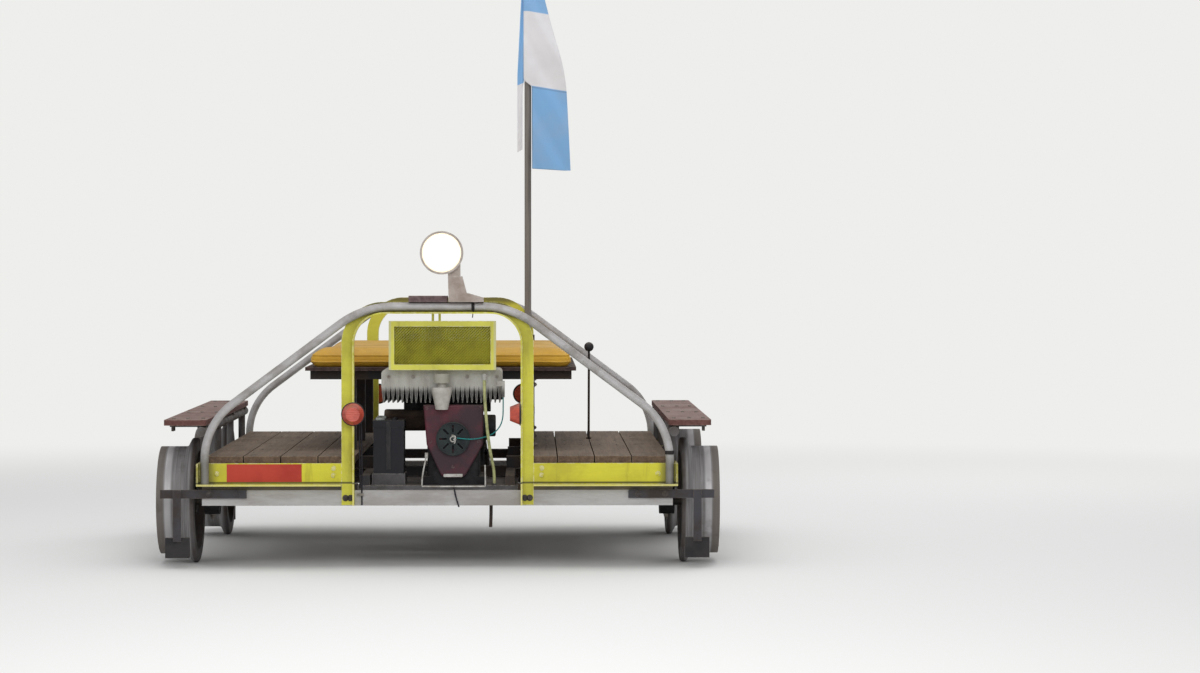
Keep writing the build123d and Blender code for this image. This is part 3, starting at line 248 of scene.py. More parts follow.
def weathered(name, colour, shade, bare, dirt=grey_dust, rough=0.5, metal=0.0, patch=5.0, stretch=(1.0, 1.0, 1.0),
              low=0.42, high=0.62, worn=0.8, bare_metal=0.6, settled=0.4, grain=90.0, lift=0.0004):
    """Paint or bare stuff that has darker patches, worn corners, dust on top and a fine uneven skin."""
    tree = blank(name)
    patches = use(tree, blotches, scale=patch, stretch=stretch, low=low, high=high)
    edges = use(tree, edge_wear, radius=0.004, amount=worn)
    lying = use(tree, dust, amount=settled)
    fine = use(tree, blotches, scale=grain, stretch=stretch, low=0.2, high=0.8)
    mixed = layered(tree, colour, (patches, 1, shade), (fine, 0.22, shade), (edges, 1, bare), (lying, 1, dirt))
    shine = sums(tree, "ADD", rough, times(tree, patches, 0.14), clamp=True)
    shine = sums(tree, "ADD", shine, times(tree, lying, 0.3), clamp=True)
    metallic = sums(tree, "MAXIMUM", metal, times(tree, edges, bare_metal))
    metallic = times(tree, metallic, sums(tree, "SUBTRACT", 1.0, lying))
    return finish(name, mixed, shine, metallic, sums(tree, "SUBTRACT", fine, edges), lift)


def coat(material, *names):
    """Gives these CAD nodes a material."""
    for name in names:
        for material_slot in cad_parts[name].material_slots:
            material_slot.material = material


axle_y, axle_z, tread_radius = 0.575, 0.206, 0.178
flange_x, tread_x, polish_from, polish_to, rim_x = 0.806, 0.815, 0.872, 0.899, 0.903
tree = blank("wheel_steel")
x, y, z = along_axes(tree)
across = sums(tree, "ABSOLUTE", x)
along = sums(tree, "SUBTRACT", sums(tree, "ABSOLUTE", y), axle_y)
rise = sums(tree, "SUBTRACT", z, axle_z)
radius = sums(tree, "SQRT", sums(tree, "ADD", times(tree, along, along), times(tree, rise, rise)))
angle = sums(tree, "ARCTAN2", rise, along)
turned = []
for lines_across, waves_round, detail, roughness, low in ((420.0, 0.5, 4.0, 0.6, 0.3), (90.0, 1.2, 3.0, 0.5, 0.35)):
    unrolled = {0: times(tree, across, lines_across), 1: times(tree, angle, waves_round)}
    unrolled = wire(tree, "CombineXYZ", unrolled).outputs[0]
    cloud = wire(tree, "TexNoise", {"Vector": unrolled, "Scale": 1.0, "Detail": detail, "Roughness": roughness})
    turned.append(spread(tree, cloud.outputs[0], low, 1 - low))
rings, bands = turned
on_tread = times(tree, spread(tree, radius, tread_radius - 0.004, tread_radius - 0.001),
                 spread(tree, across, flange_x, tread_x))
polished = times(tree, spread(tree, across, polish_from, 0.880), spread(tree, across, polish_to, 0.894))
outer_zone = spread(tree, across, 0.897, rim_x)
rusting = use(tree, blotches, scale=9.0, low=0.36, high=0.62)
fine = use(tree, blotches, scale=120.0, low=0.25, high=0.75)
smear = use(tree, blotches, scale=14.0, low=0.55, high=0.75)
edges = use(tree, edge_wear, radius=0.004, amount=0.6)
oily = spread(tree, radius, 0.085, 0.050)
disc = layered(tree, rgb(88, 87, 88), (rusting, 1, rgb(70, 63, 60)), (fine, 0.3, rgb(100, 86, 76)),
               (oily, 0.8, rgb(34, 30, 28)), (edges, 1, rgb(124, 120, 118)))
steel = layered(tree, rgb(126, 124, 124), (rings, 1, rgb(158, 156, 157)), (bands, 0.4, rgb(104, 100, 98)),
                (polished, 0.6, rgb(200, 198, 200)), (outer_zone, 0.85, rgb(112, 104, 97)),
                (smear, 0.45, rgb(84, 74, 66)))
bright = times(tree, on_tread, sums(tree, "ADD", 0.35, times(tree, polished, 0.65)))
height = sums(tree, "ADD", times(tree, rings, on_tread), times(tree, fine, 0.5))
wheel_steel = finish("wheel_steel", tint(tree, on_tread, disc, steel), spread(tree, bright, 0.0, 1.0, 0.78, 0.40),
                     times(tree, on_tread, 0.3), height, 0.00025)
coat(wheel_steel, "front_wheel_left", "front_wheel_right", "rear_wheel_left", "rear_wheel_right")
oily_steel = weathered("axle_steel", rgb(92, 87, 82), rgb(54, 46, 40), rgb(160, 156, 150), rough=0.42,
                       metal=0.6, stretch=(0.3, 1.0, 1.0), patch=14.0, settled=0.3)
coat(oily_steel, "front_axle", "rear_axle", "axle_pulley")


def step(tree, kind, inputs=None, **settings):
    """One node of a Geometry Nodes tree, by its full kind."""
    return wire(tree, kind, inputs, family="", **settings)


def new_tree(name, inputs):
    """An empty Geometry Nodes tree with named inputs and a finish, and its two ends."""
    made = bpy.data.node_groups.new(name, "GeometryNodeTree")
    kinds = {int: "NodeSocketInt", float: "NodeSocketFloat"}
    made.interface.new_socket("Geometry", in_out="INPUT", socket_type="NodeSocketGeometry")
    for label, value in inputs.items():
        socket = made.interface.new_socket(label, in_out="INPUT", socket_type=kinds[type(value)])
        socket.default_value = value
    made.interface.new_socket("Finish", in_out="INPUT", socket_type="NodeSocketMaterial")
    made.interface.new_socket("Geometry", in_out="OUTPUT", socket_type="NodeSocketGeometry")
    return made, made.nodes.new("NodeGroupInput").outputs, made.nodes.new("NodeGroupOutput").inputs["Geometry"]


# Fastener: a head or nut on a washer with a bit of thread, turned by its own angle on each mark
heads, given, grown = new_tree("fasteners", {
    "Sides": 6, "Head Radius": 0.009, "Head Height": 0.006, "Washer Radius": 0.012, "Thread Radius": 0.004,
    "Thread Height": 0.004})
washer_height = 0.0016
thread_foot = sums(heads, "ADD", given["Head Height"], washer_height)
shapes = []
for sides, radius, height, foot in (
    (20, given["Washer Radius"], washer_height, 0.0),
    (given["Sides"], given["Head Radius"], given["Head Height"], washer_height),
    (12, given["Thread Radius"], given["Thread Height"], thread_foot),
):
    bar = step(heads, "GeometryNodeMeshCylinder", {"Vertices": sides, "Radius": radius, "Depth": height}).outputs[0]
    middle = sums(heads, "ADD", sums(heads, "MULTIPLY", height, 0.5), foot)
    lift_by = step(heads, "ShaderNodeCombineXYZ", {2: middle}).outputs[0]
    shapes.append(step(heads, "GeometryNodeTransform", {"Geometry": bar, "Translation": lift_by}).outputs[0])
whole = step(heads, "GeometryNodeJoinGeometry")
for shape in shapes:
    heads.links.new(shape, whole.inputs[0])
aim = step(heads, "GeometryNodeInputNamedAttribute", {"Name": "aim"}, data_type="FLOAT_VECTOR").outputs[0]
facing = step(heads, "FunctionNodeAlignRotationToVector", {"Vector": aim}, axis="Z").outputs[0]
chance = step(heads, "FunctionNodeRandomValue", {"Seed": 7}, data_type="FLOAT").outputs[1]
angle = sums(heads, "MULTIPLY", chance, tau)
spin = step(heads, "FunctionNodeAxisAngleToRotation", {"Axis": (0, 0, 1), "Angle": angle}).outputs[0]
spun = step(heads, "FunctionNodeRotateRotation", {"Rotation": facing, "Rotate By": spin}, rotation_space="LOCAL")
placed = step(heads, "GeometryNodeInstanceOnPoints", {
    "Points": given["Geometry"], "Instance": whole.outputs[0], "Rotation": spun.outputs[0]}).outputs[0]
real = step(heads, "GeometryNodeRealizeInstances", {"Geometry": placed}).outputs[0]
real = step(heads, "GeometryNodeSetMaterial", {"Geometry": real, "Material": given["Finish"]}).outputs[0]
heads.links.new(real, grown)


def new_mesh(name, points, faces=()):
    """A plain mesh of these points and faces."""
    mesh = bpy.data.meshes.new(name)
    mesh.from_pydata(points, [], faces)
    return mesh


def new_piece(name, mesh, material):
    """A mesh as an object in its place, with its one material."""
    mesh.materials.clear()
    mesh.materials.append(material)
    piece = bpy.data.objects.new(name, mesh)
    scene.collection.objects.link(piece)
    return piece


def apply_all(piece):
    """Turns a piece and its modifiers into a plain mesh."""
    mesh = bpy.data.meshes.new_from_object(piece.evaluated_get(bpy.context.evaluated_depsgraph_get()))
    piece.modifiers.clear()
    old = piece.data
    piece.data = mesh
    bpy.data.meshes.remove(old)
    mesh.name = piece.name


def run_tree(piece, group, values):
    """Runs a Geometry Nodes tree on a piece, its inputs set by their identifiers, and makes it plain."""
    modifier = piece.modifiers.new(piece.name, "NODES")
    modifier.node_group = group
    for item in group.interface.items_tree:
        if item.item_type == "SOCKET" and item.in_out == "INPUT" and item.name in values:
            modifier[item.identifier] = values[item.name]
    apply_all(piece)


def settle(piece, body="chassis"):
    """Says which body carries a finished piece."""
    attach(piece, body)


def fasten(name, marks, material, head, washer, thread, sides=6, body="chassis"):
    """Fasteners on these marks, each a place and an aim; head and thread are a radius and a height."""
    mesh = new_mesh(name, [spot for spot, aim in marks])
    for item, (spot, aim) in zip(mesh.attributes.new("aim", "FLOAT_VECTOR", "POINT").data, marks):
        item.vector = aim
    piece = new_piece(name, mesh, material)
    run_tree(piece, heads, {
        "Sides": sides, "Head Radius": head[0], "Head Height": head[1], "Washer Radius": washer,
        "Thread Radius": thread[0], "Thread Height": thread[1], "Finish": material})
    settle(piece, body)


zinc = weathered("zinc_bolts", rgb(138, 134, 128), rgb(92, 78, 66), rgb(180, 176, 170), metal=0.4,
                 patch=60.0, low=0.4, high=0.6, worn=0.6, grain=400.0, lift=0.0001, settled=0.2)
hub_face, bolt_circle = 0.9098, 0.034
for end_name, end in (("front", -1), ("rear", 1)):
    marks = []
    for side in (-1, 1):
        for number in range(4):
            turn = tau * (number + 0.5) / 4
            spot = (side * hub_face, end * axle_y + bolt_circle * cos(turn), axle_z + bolt_circle * sin(turn))
            marks.append((spot, (side, 0, 0)))
    fasten(f"{end_name}_hub_bolts", marks, zinc, head=(0.0065, 0.005), washer=0.0085,
           thread=(0.003, 0.002), body=f"{end_name}_wheelset")

# Bearing blocks: cast iron plummer blocks under the side sills, black with grease and brake
# dust. Each hangs on two bolts from below and has a cap bolt and a grease plug.
cast_iron = weathered("cast_iron", rgb(40, 39, 42), rgb(26, 24, 26), rgb(78, 74, 72), rough=0.7,
                      metal=0.1, patch=10.0, grain=220.0, lift=0.0007, settled=0.3)
coat(cast_iron, "bearing_blocks")
block_face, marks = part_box("bearing_blocks")[1].x, []
bolt_x, bolt_shift, foot_z, cap_z, plug_shift = block_face - 0.025, 0.078, 0.252, 0.158, 0.034
for end in (-1, 1):
    for side in (-1, 1):
        for x, shift, z, aim in (
            (bolt_x, -bolt_shift, foot_z, (0, 0, -1)), (bolt_x, bolt_shift, foot_z, (0, 0, -1)),
            (bolt_x, 0.0, cap_z, (0, 0, -1)), (block_face, plug_shift, axle_z, (side, 0, 0)),
        ):
            marks.append(((side * x, end * axle_y + shift, z), aim))
fasten("bearing_bolts", marks, zinc, head=(0.0095, 0.0075), washer=0.0125, thread=(0.005, 0.006))

# Deck frame: angle iron sills and channel beams, sawn, welded and brushed with yellow and silver
# paint over black under-frame ties. Knocks have chipped the edges to pale cream, grime darkens
# the ends of the sills, and a blank red patch is stuck on the front one.


beam_top, sill_foot = 0.2538, 0.2745


def yellow_paint(name, colour, shade, darker_above_low=3.0, darker_above_high=4.0):
    """Yellow brushed paint; it turns darker above one height, and grime gathers towards the ends of the sills."""
    tree = blank(name)
    x, y, z = along_axes(tree)
    patches = use(tree, blotches, scale=4.5, low=0.42, high=0.66)
    brushed = use(tree, blotches, scale=60.0, stretch=(0.25, 1.0, 1.0), low=0.3, high=0.75)
    edges = use(tree, edge_wear, radius=0.0045, amount=1.0)
    lying = use(tree, dust, amount=0.45)
    streaks = use(tree, blotches, scale=30.0, stretch=(1.0, 1.0, 0.12), low=0.52, high=0.72)
    # Grime darkens the ends of the sills, and the same dark colour covers everything above one height, which on the
    # arches is their top bar.
    far_out = times(tree, spread(tree, sums(tree, "ABSOLUTE", x), 0.712, 0.738), 0.75)
    grime_and_dark_top = times(tree, sums(tree, "MAXIMUM", far_out, spread(tree, z, darker_above_low, darker_above_high)), 0.85)
    outermost = sums(tree, "ABSOLUTE", y)
    # Painted shade and dirt darken the corner over a sill's ledge, and the ledge's own front edge is rubbed pale and
    # carries a painted highlight
    corner_shade_and_dirt = times(tree, spread(tree, z, 0.2835, 0.2800), spread(tree, z, sill_foot, 0.2765),
                      spread(tree, outermost, 0.82, 0.825))
    ledge_wear_and_highlight = times(tree, spread(tree, outermost, 0.8670, 0.8690), spread(tree, outermost, 0.8715, 0.8705),
                       spread(tree, z, 0.2765, 0.2755))
    mixed = layered(
        tree, colour, (patches, 1, shade), (brushed, 0.22, shade), (streaks, 0.35, rgb(112, 96, 44)),
        (grime_and_dark_top, 1, rgb(96, 90, 62)), (edges, 1, rgb(216, 210, 166)), (lying, 1, grey_dust),
        (corner_shade_and_dirt, 0.85, rgb(66, 62, 40)), (ledge_wear_and_highlight, 0.6, rgb(214, 206, 130)))
    shine = sums(tree, "ADD", 0.5, times(tree, sums(tree, "MAXIMUM", grime_and_dark_top, lying), 0.3), clamp=True)
    height = sums(tree, "SUBTRACT", brushed, times(tree, edges, 1.5))
    return finish(name, mixed, shine, 0.0, height, 0.0004)


def overcoat(material, mask, colour):
    """One more coat over a finished material's colour, where the mask lies."""
    tree = material.node_tree
    skin = tree.nodes["Principled BSDF"].inputs["Base Color"]
    link(tree, tint(tree, mask, skin.links[0].from_socket, colour), skin)


def rounded_box(name, size, middle, bevel, segments):
    """A box of this size about a middle, with rounded edges."""
    shape = bmesh.new()
    bmesh.ops.create_cube(shape, size=1.0)
    placing = Matrix.Translation(middle) @ Matrix.Diagonal((*size, 1))
    bmesh.ops.transform(shape, matrix=placing, verts=shape.verts)
    bmesh.ops.bevel(shape, geom=shape.edges[:], offset=bevel, segments=segments, affect="EDGES")
    mesh = bpy.data.meshes.new(name)
    shape.to_mesh(mesh)
    shape.free()
    return mesh


def block(name, low, high, material, bevel=0.0015):
    """A bar between two corners with rounded edges."""
    size = [b - a for a, b in zip(low, high)]
    middle = [(a + b) / 2 for a, b in zip(low, high)]
    settle(new_piece(name, rounded_box(name, size, middle, bevel, segments=2), material))


def grid_faces(lines, across, start=0):
    """Faces between lines of points, each line with this many points across."""
    firsts = [start + line * across + i for line in range(lines) for i in range(across - 1)]
    return [(a, a + across, a + across + 1, a + 1) for a in firsts]


yellow = yellow_paint("yellow_paint", rgb(208, 202, 56), rgb(184, 176, 52))
coat(yellow, "side_sill_left", "side_sill_right", "end_sills")
silver = weathered("silver_paint", rgb(178, 177, 177), rgb(150, 145, 141), rgb(112, 102, 92),
                   rough=0.55, patch=4.0, stretch=(0.5, 1.0, 2.0), worn=0.6, bare_metal=0.1, settled=0.5)
tree = silver.node_tree
top_flange = spread(tree, along_axes(tree)[2], beam_top, 0.2546)
grimy = tint(tree, use(tree, blotches, scale=12.0), rgb(66, 60, 48), rgb(92, 80, 58))
overcoat(silver, times(tree, top_flange, 0.9), grimy)
coat(silver, "front_beam", "rear_beam")
black_steel = weathered("dark_steel", rgb(36, 36, 40), rgb(56, 44, 36), rgb(100, 88, 78),
                        rough=0.6, patch=7.0, worn=0.8, bare_metal=0.3, settled=0.4)
coat(black_steel, "centre_rails", "cross_ties", "deck_bearers")
web_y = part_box("end_sills")[1].y - 0.035
marks = [((side * x, end * web_y, z), (0, end, 0))
         for end in (-1, 1) for side in (-1, 1) for x, z in ((0.338, 0.303), (0.338, 0.326), (0.716, 0.308))]
fasten("sill_bolts", marks, yellow, head=(0.0060, 0.0042), washer=0.0085, thread=(0.003, 0.002))
shim_front, shim_back = -0.8260, -0.7900
for side_name, low_x, high_x in (("left", -0.2875, -0.2595), ("right", 0.2595, 0.2875)):
    block(f"front_shim_{side_name}", (low_x, shim_front, beam_top), (high_x, shim_back, sill_foot), black_steel)
red_vinyl = weathered("red_patch", rgb(184, 62, 46), rgb(166, 52, 40), rgb(206, 150, 120),
                      patch=7.0, low=0.45, high=0.7, worn=0.4, bare_metal=0.0, grain=50.0, lift=0.0001, settled=0.3)
patch_left, patch_foot, patch_width, patch_height, patch_y = -0.684, 0.2815, 0.243, 0.0575, -web_y - 0.0006
columns, rows = 30, 5
points = []
for i in range(columns + 1):
    for j in range(rows + 1):
        x = patch_left + patch_width * i / columns
        z = patch_foot + patch_height * j / rows
        curled = 0.0010 if i in (0, columns) and j in (0, rows) else 0.0
        lifted = min(0.0, 0.0004 * noise.noise((x * 30, 0, z * 30)) - curled)
        points.append((x + 0.0008 * noise.noise((0, z * 80, i)), patch_y + lifted, z))
mesh = new_mesh("red_patch", points, grid_faces(columns, rows + 1))
settle(new_piece("red_patch", mesh, red_vinyl))

# Sweepers: dusty steel arms bolted under the beams, with slabs of old tyre rubber that hang low
# before the treads. The arch feet are bolted to the beams beside them.
dusty_steel = weathered("dark_steel_dusty", rgb(64, 63, 68), rgb(60, 53, 50), rgb(110, 102, 96),
                        rough=0.7, patch=9.0, worn=0.7, bare_metal=0.3, settled=0.6)
coat(dusty_steel, "sweeper_arms")
rubber = weathered("black_rubber", rgb(40, 39, 42), rgb(56, 54, 54), rgb(74, 70, 67), rough=0.8,
                   patch=16.0, bare_metal=0.0, settled=0.5)
coat(rubber, "sweeper_pads")
marks = [((side * x, end * (web_y + out), z), (0, end, 0)) for end in (-1, 1) for side in (-1, 1) for x, out, z in (
    (0.283, 0.0, 0.229), (0.299, 0.0, 0.229), (0.652, 0.003, 0.242), (0.740, 0.003, 0.242))]
fasten("frame_bolts", marks, dusty_steel, head=(0.0075, 0.0055), washer=0.0105, thread=(0.004, 0.0035))

# Decks: four bare softwood planks on each side, greyed by weather, with darker seasons, knots
# and trodden corners. Two rows of countersunk screws in each plank hold them to the bearers.


def planks(name, colour, shade, dark, worn, settled=0.35, dirt=grey_dust):
    """Wood with its grain along Y: long fibres, darker seasons, knots and worn corners."""
    tree = blank(name)
    x, y, z = along_axes(tree)
    fibre = use(tree, blotches, scale=150.0, stretch=(1.0, 0.03, 1.0), low=0.3, high=0.7)
    season = use(tree, blotches, scale=46.0, stretch=(1.0, 0.05, 1.0), low=0.38, high=0.62)
    board = sums(tree, "FLOOR", sums(tree, "DIVIDE", x, 0.123))
    shift = wire(tree, "TexWhiteNoise", {"W": board}, noise_dimensions="1D").outputs["Value"]
    along = sums(tree, "ADD", times(tree, y, 2.2), times(tree, shift, 9.0))
    knot_place = wire(tree, "CombineXYZ", {0: times(tree, x, 7.0), 1: along, 2: z}).outputs[0]
    knot = wire(tree, "TexVoronoi", {"Vector": knot_place, "Scale": 1.0, "Randomness": 1.0}, feature="F1")
    knots = spread(tree, knot.outputs["Distance"], 0.13, 0.05)
    cloud = use(tree, blotches, scale=3.0, low=0.4, high=0.66)
    edges = use(tree, edge_wear, radius=0.005, amount=0.8)
    lying = use(tree, dust, amount=settled, scale=7.0)
    mixed = layered(tree, colour, (season, 1, shade), (shift, 0.4, shade), (fibre, 0.5, dark), (cloud, 0.45, shade),
                    (knots, 0.8, dark), (edges, 1, worn), (lying, 1, dirt))
    height = sums(tree, "SUBTRACT", season, times(tree, fibre, 0.7))
    return finish(name, mixed, sums(tree, "ADD", 0.78, times(tree, lying, 0.15), clamp=True), 0.0, height, 0.0008)


coat(planks("deck_wood", rgb(122, 101, 82), rgb(96, 77, 62), rgb(54, 42, 34), rgb(140, 122, 102)),
     "deck_left", "deck_right")
deck_low, deck_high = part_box("deck_right")
plank_count, plank_gap, end_gap, sunk = 4, 0.004, 0.035, 0.0012
plank_pitch = (deck_high.x - deck_low.x + plank_gap) / plank_count
marks = []
for side in (-1, 1):
    for number in range(plank_count):
        for offset in (0.030, plank_pitch - 0.034):
            for along_y in (deck_low.y + end_gap, -0.42, -0.14, 0.14, 0.42, 0.68, deck_high.y - end_gap):
                over_lever = side > 0 and number in (1, 2) and 0.14 < along_y < 0.5
                if not over_lever:
                    x = side * (deck_low.x + number * plank_pitch + offset)
                    marks.append(((x, along_y, deck_high.z - sunk), (0, 0, 1)))
fasten("deck_screws", marks, zinc, head=(0.0046, 0.0012), washer=0.0048, thread=(0.0018, 0.0002),
       sides=16)

# Foot boards: one thick plank over each pair of wheels, painted reddish brown and worn dusty by
# use, bolted down with round heads on a beam and posts of dull galvanised tube.
dull_tube = weathered("galvanised_tube_dark", rgb(104, 102, 102), rgb(80, 74, 70), rgb(150, 146, 140),
                      rough=0.6, metal=0.2, patch=11.0, low=0.4, high=0.66, worn=0.5, settled=0.3)
coat(dull_tube, "foot_rail_left", "foot_rail_right")
coat(planks("foot_board_wood", rgb(122, 84, 78), rgb(100, 66, 61), rgb(64, 42, 38), rgb(150, 122, 112), settled=0.7,
            dirt=rgb(150, 133, 126)), "foot_board_left", "foot_board_right")
board_low, board_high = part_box("foot_board_right")
last_bolt_y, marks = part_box("foot_rail_right")[1].y - 0.1, []
for side in (-1, 1):
    for station in range(4):
        along_y = last_bolt_y * (2 * station / 3 - 1) + 0.010
        for x in (board_low.x + 0.020, board_low.x + 0.070, board_high.x - 0.022):
            marks.append(((side * x, along_y, board_high.z - 0.0008), (0, 0, 1)))
fasten("foot_board_bolts", marks, zinc, head=(0.0060, 0.0020), washer=0.0064, thread=(0.003, 0.0002),
       sides=18)

# Arches and mesh panel: flat bar bent to an arch at each end, yellow and darker along its top,
# and a yellow frame hung in the front one. The panel is crimped round wire, woven over and under,
# welded into the frame and painted olive.
coat(yellow_paint("yellow_paint_arch", rgb(204, 200, 70), rgb(178, 172, 60), 0.832, 0.858), "arch_front", "arch_rear")
pale_yellow = yellow_paint("yellow_paint_grille", rgb(206, 203, 84), rgb(188, 184, 76))
tree = pale_yellow.node_tree
off_middle = sums(tree, "ABSOLUTE", sums(tree, "SUBTRACT", along_axes(tree)[0], 0.016))
worn_side = times(tree, spread(tree, off_middle, 0.164, 0.169), use(tree, blotches, scale=20.0, low=0.2, high=0.5))
overcoat(pale_yellow, times(tree, worn_side, 0.75), rgb(184, 182, 142))
coat(pale_yellow, "grille_frame")
weave, given, grown = new_tree("woven_wire", {"Width": 0.3, "Height": 0.1, "Pitch": 0.007, "Wire Radius": 0.0009})
pitch, wire_radius = given["Pitch"], given["Wire Radius"]
joined = step(weave, "GeometryNodeJoinGeometry")
for length, breadth, run_axis, row_axis, lead in (("Height", "Width", 2, 0, 0.0), ("Width", "Height", 0, 2, pi)):
    half_length = sums(weave, "MULTIPLY", given[length], 0.5)
    back = sums(weave, "MULTIPLY", half_length, -1.0)
    ends = [step(weave, "ShaderNodeCombineXYZ", {run_axis: value}).outputs[0] for value in (back, half_length)]
    line = step(weave, "GeometryNodeCurvePrimitiveLine", {"Start": ends[0], "End": ends[1]}).outputs[0]
    stations = sums(weave, "MULTIPLY", sums(weave, "DIVIDE", given[length], pitch), 4.0)
    line = step(weave, "GeometryNodeResampleCurve", {"Curve": line, "Count": stations}).outputs[0]
    pair = []
    for phase in (0.0, pi):
        position = step(weave, "GeometryNodeInputPosition").outputs[0]
        spot = step(weave, "ShaderNodeSeparateXYZ", {0: position}).outputs[run_axis]
        turned = sums(weave, "MULTIPLY", sums(weave, "DIVIDE", spot, pitch), pi)
        wave = sums(weave, "SINE", sums(weave, "ADD", turned, phase + lead))
        push = step(weave, "ShaderNodeCombineXYZ", {1: sums(weave, "MULTIPLY", wave, wire_radius)}).outputs[0]
        waved = step(weave, "GeometryNodeSetPosition", {"Geometry": line, "Offset": push}).outputs[0]
        ring = step(weave, "GeometryNodeCurvePrimitiveCircle", {"Resolution": 6, "Radius": wire_radius}).outputs[0]
        pair.append(step(weave, "GeometryNodeCurveToMesh", {
            "Curve": waved, "Profile Curve": ring, "Fill Caps": True}).outputs[0])
    opposites = step(weave, "GeometryNodeGeometryToInstance")
    for shape in reversed(pair):
        weave.links.new(shape, opposites.inputs[0])
    count = sums(weave, "FLOOR", sums(weave, "DIVIDE", given[breadth], pitch))
    first = sums(weave, "MULTIPLY", sums(weave, "SUBTRACT", count, 1.0), sums(weave, "MULTIPLY", pitch, -0.5))
    start = step(weave, "ShaderNodeCombineXYZ", {row_axis: first}).outputs[0]
    pace = step(weave, "ShaderNodeCombineXYZ", {row_axis: pitch}).outputs[0]
    spots = step(weave, "GeometryNodeMeshLine", {"Count": count, "Start Location": start, "Offset": pace}).outputs[0]
    odd = sums(weave, "MODULO", step(weave, "GeometryNodeInputIndex").outputs[0], 2.0)
    placed = step(weave, "GeometryNodeInstanceOnPoints", {
        "Points": spots, "Instance": opposites.outputs[0], "Pick Instance": True, "Instance Index": odd}).outputs[0]
    weave.links.new(placed, joined.inputs[0])
real = step(weave, "GeometryNodeRealizeInstances", {"Geometry": joined.outputs[0]}).outputs[0]
real = step(weave, "GeometryNodeSetShadeSmooth", {"Geometry": real}).outputs[0]
real = step(weave, "GeometryNodeSetMaterial", {"Geometry": real, "Material": given["Finish"]}).outputs[0]
weave.links.new(real, grown)
wire_paint = weathered("olive_mesh", rgb(152, 148, 36), rgb(128, 124, 32), rgb(176, 168, 80), rgb(140, 132, 80),
                       patch=14.0, worn=0.0, settled=0.3)
mesh_low, mesh_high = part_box("grille_mesh")
wires = new_piece("woven_wire", new_mesh("woven_wire", [(0, 0, 0)]), wire_paint)
run_tree(wires, weave, {"Width": mesh_high.x - mesh_low.x, "Height": mesh_high.z - mesh_low.z, "Pitch": 0.0048,
                        "Wire Radius": 0.0022, "Finish": wire_paint})
wires.data.transform(Matrix.Translation((mesh_low + mesh_high) / 2))
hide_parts("grille_mesh")
settle(wires)

# Hoops: one long galvanised tube at each end, bent over the arch and welded to it, darker near
# the deck. A turn of black tape and a loose end of it are left on the front one.
tube = weathered("galvanised_tube", rgb(178, 176, 176), rgb(142, 138, 134), rgb(200, 198, 196),
                 metal=0.2, patch=13.0, low=0.42, high=0.7, worn=0.4, settled=0.25)
tree = tube.node_tree
# The tube turns darker towards the deck.
overcoat(tube, times(tree, spread(tree, along_axes(tree)[2], 0.40, 0.33), 0.7), rgb(98, 96, 84))
coat(tube, "hoop_front", "hoop_rear")


def smooth(mesh):
    """Smooth shading on every face."""
    for face in mesh.polygons:
        face.use_smooth = True


def bent_line(name, runs, radius, material, cyclic=False, resolution=6, sides=3):
    """A round bar or cord as a curve through these control points."""
    curve = bpy.data.curves.new(name, "CURVE")
    curve.dimensions = "3D"
    for run in runs:
        spline = curve.splines.new("NURBS")
        spline.points.add(len(run) - 1)
        for point, spot in zip(spline.points, run):
            point.co = (*spot, 1.0)
        spline.order_u = 3
        spline.use_endpoint_u = not cyclic
        spline.use_cyclic_u = cyclic
        spline.resolution_u = resolution
    curve.bevel_depth = radius
    curve.bevel_resolution = sides
    curve.use_fill_caps = not cyclic
    curve.materials.append(material)
    piece = bpy.data.objects.new(name, curve)
    scene.collection.objects.link(piece)
    return piece


def tube_along(name, runs, radius, material, cyclic=False, sides=3):
    """Round bar or tubing along smooth lines through these control points, as one plain mesh."""
    line = bent_line(name, runs, radius, material, cyclic, sides=sides)
    mesh = bpy.data.meshes.new_from_object(line.evaluated_get(bpy.context.evaluated_depsgraph_get()))
    curve = line.data
    bpy.data.objects.remove(line)
    bpy.data.curves.remove(curve)
    smooth(mesh)
    settle(new_piece(name, mesh, material))


def ring_points(centre, radius, axis, count=16):
    """Control points of a circle about an axis."""
    turned = Vector((0, 0, 1)).rotation_difference(Vector(axis))
    spots = [Vector((radius * cos(tau * i / count), radius * sin(tau * i / count), 0)) for i in range(count)]
    return [tuple(Vector(centre) + turned @ spot) for spot in spots]


tape = weathered("black_tape", rgb(34, 32, 34), rgb(46, 42, 42), rgb(60, 56, 54), rough=0.6, patch=60.0,
                 worn=0.2, bare_metal=0.0, settled=0.3)
hoop_low, hoop_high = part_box("hoop_front")
hoop_y, tube_radius = (hoop_low.y + hoop_high.y) / 2, 0.01345
top_z, side_x = hoop_high.z - tube_radius, hoop_high.x - tube_radius
tape_radius, wound_radius = 0.0015, tube_radius + 0.0010
turns = [ring_points((0.112 + 0.0022 * i, hoop_y, top_z), wound_radius, (1, 0.05 * (i % 2), 0)) for i in range(4)]
tube_along("hoop_tie", turns, tape_radius, tape, cyclic=True, sides=2)
tube_along("hoop_tie_end", [[
    (0.115, hoop_y - 0.0145, top_z + 0.003), (0.117, hoop_y - 0.0165, top_z - 0.014),
    (0.114, hoop_y - 0.0160, top_z - 0.036)]], 0.0016, tape, sides=2)
turns = [ring_points((side_x, hoop_y, 0.372 + 0.0024 * i), wound_radius, (0, 0.04 * (i % 2), 1)) for i in range(5)]
tube_along("hoop_side_tie", turns, tape_radius, tape, cyclic=True, sides=2)

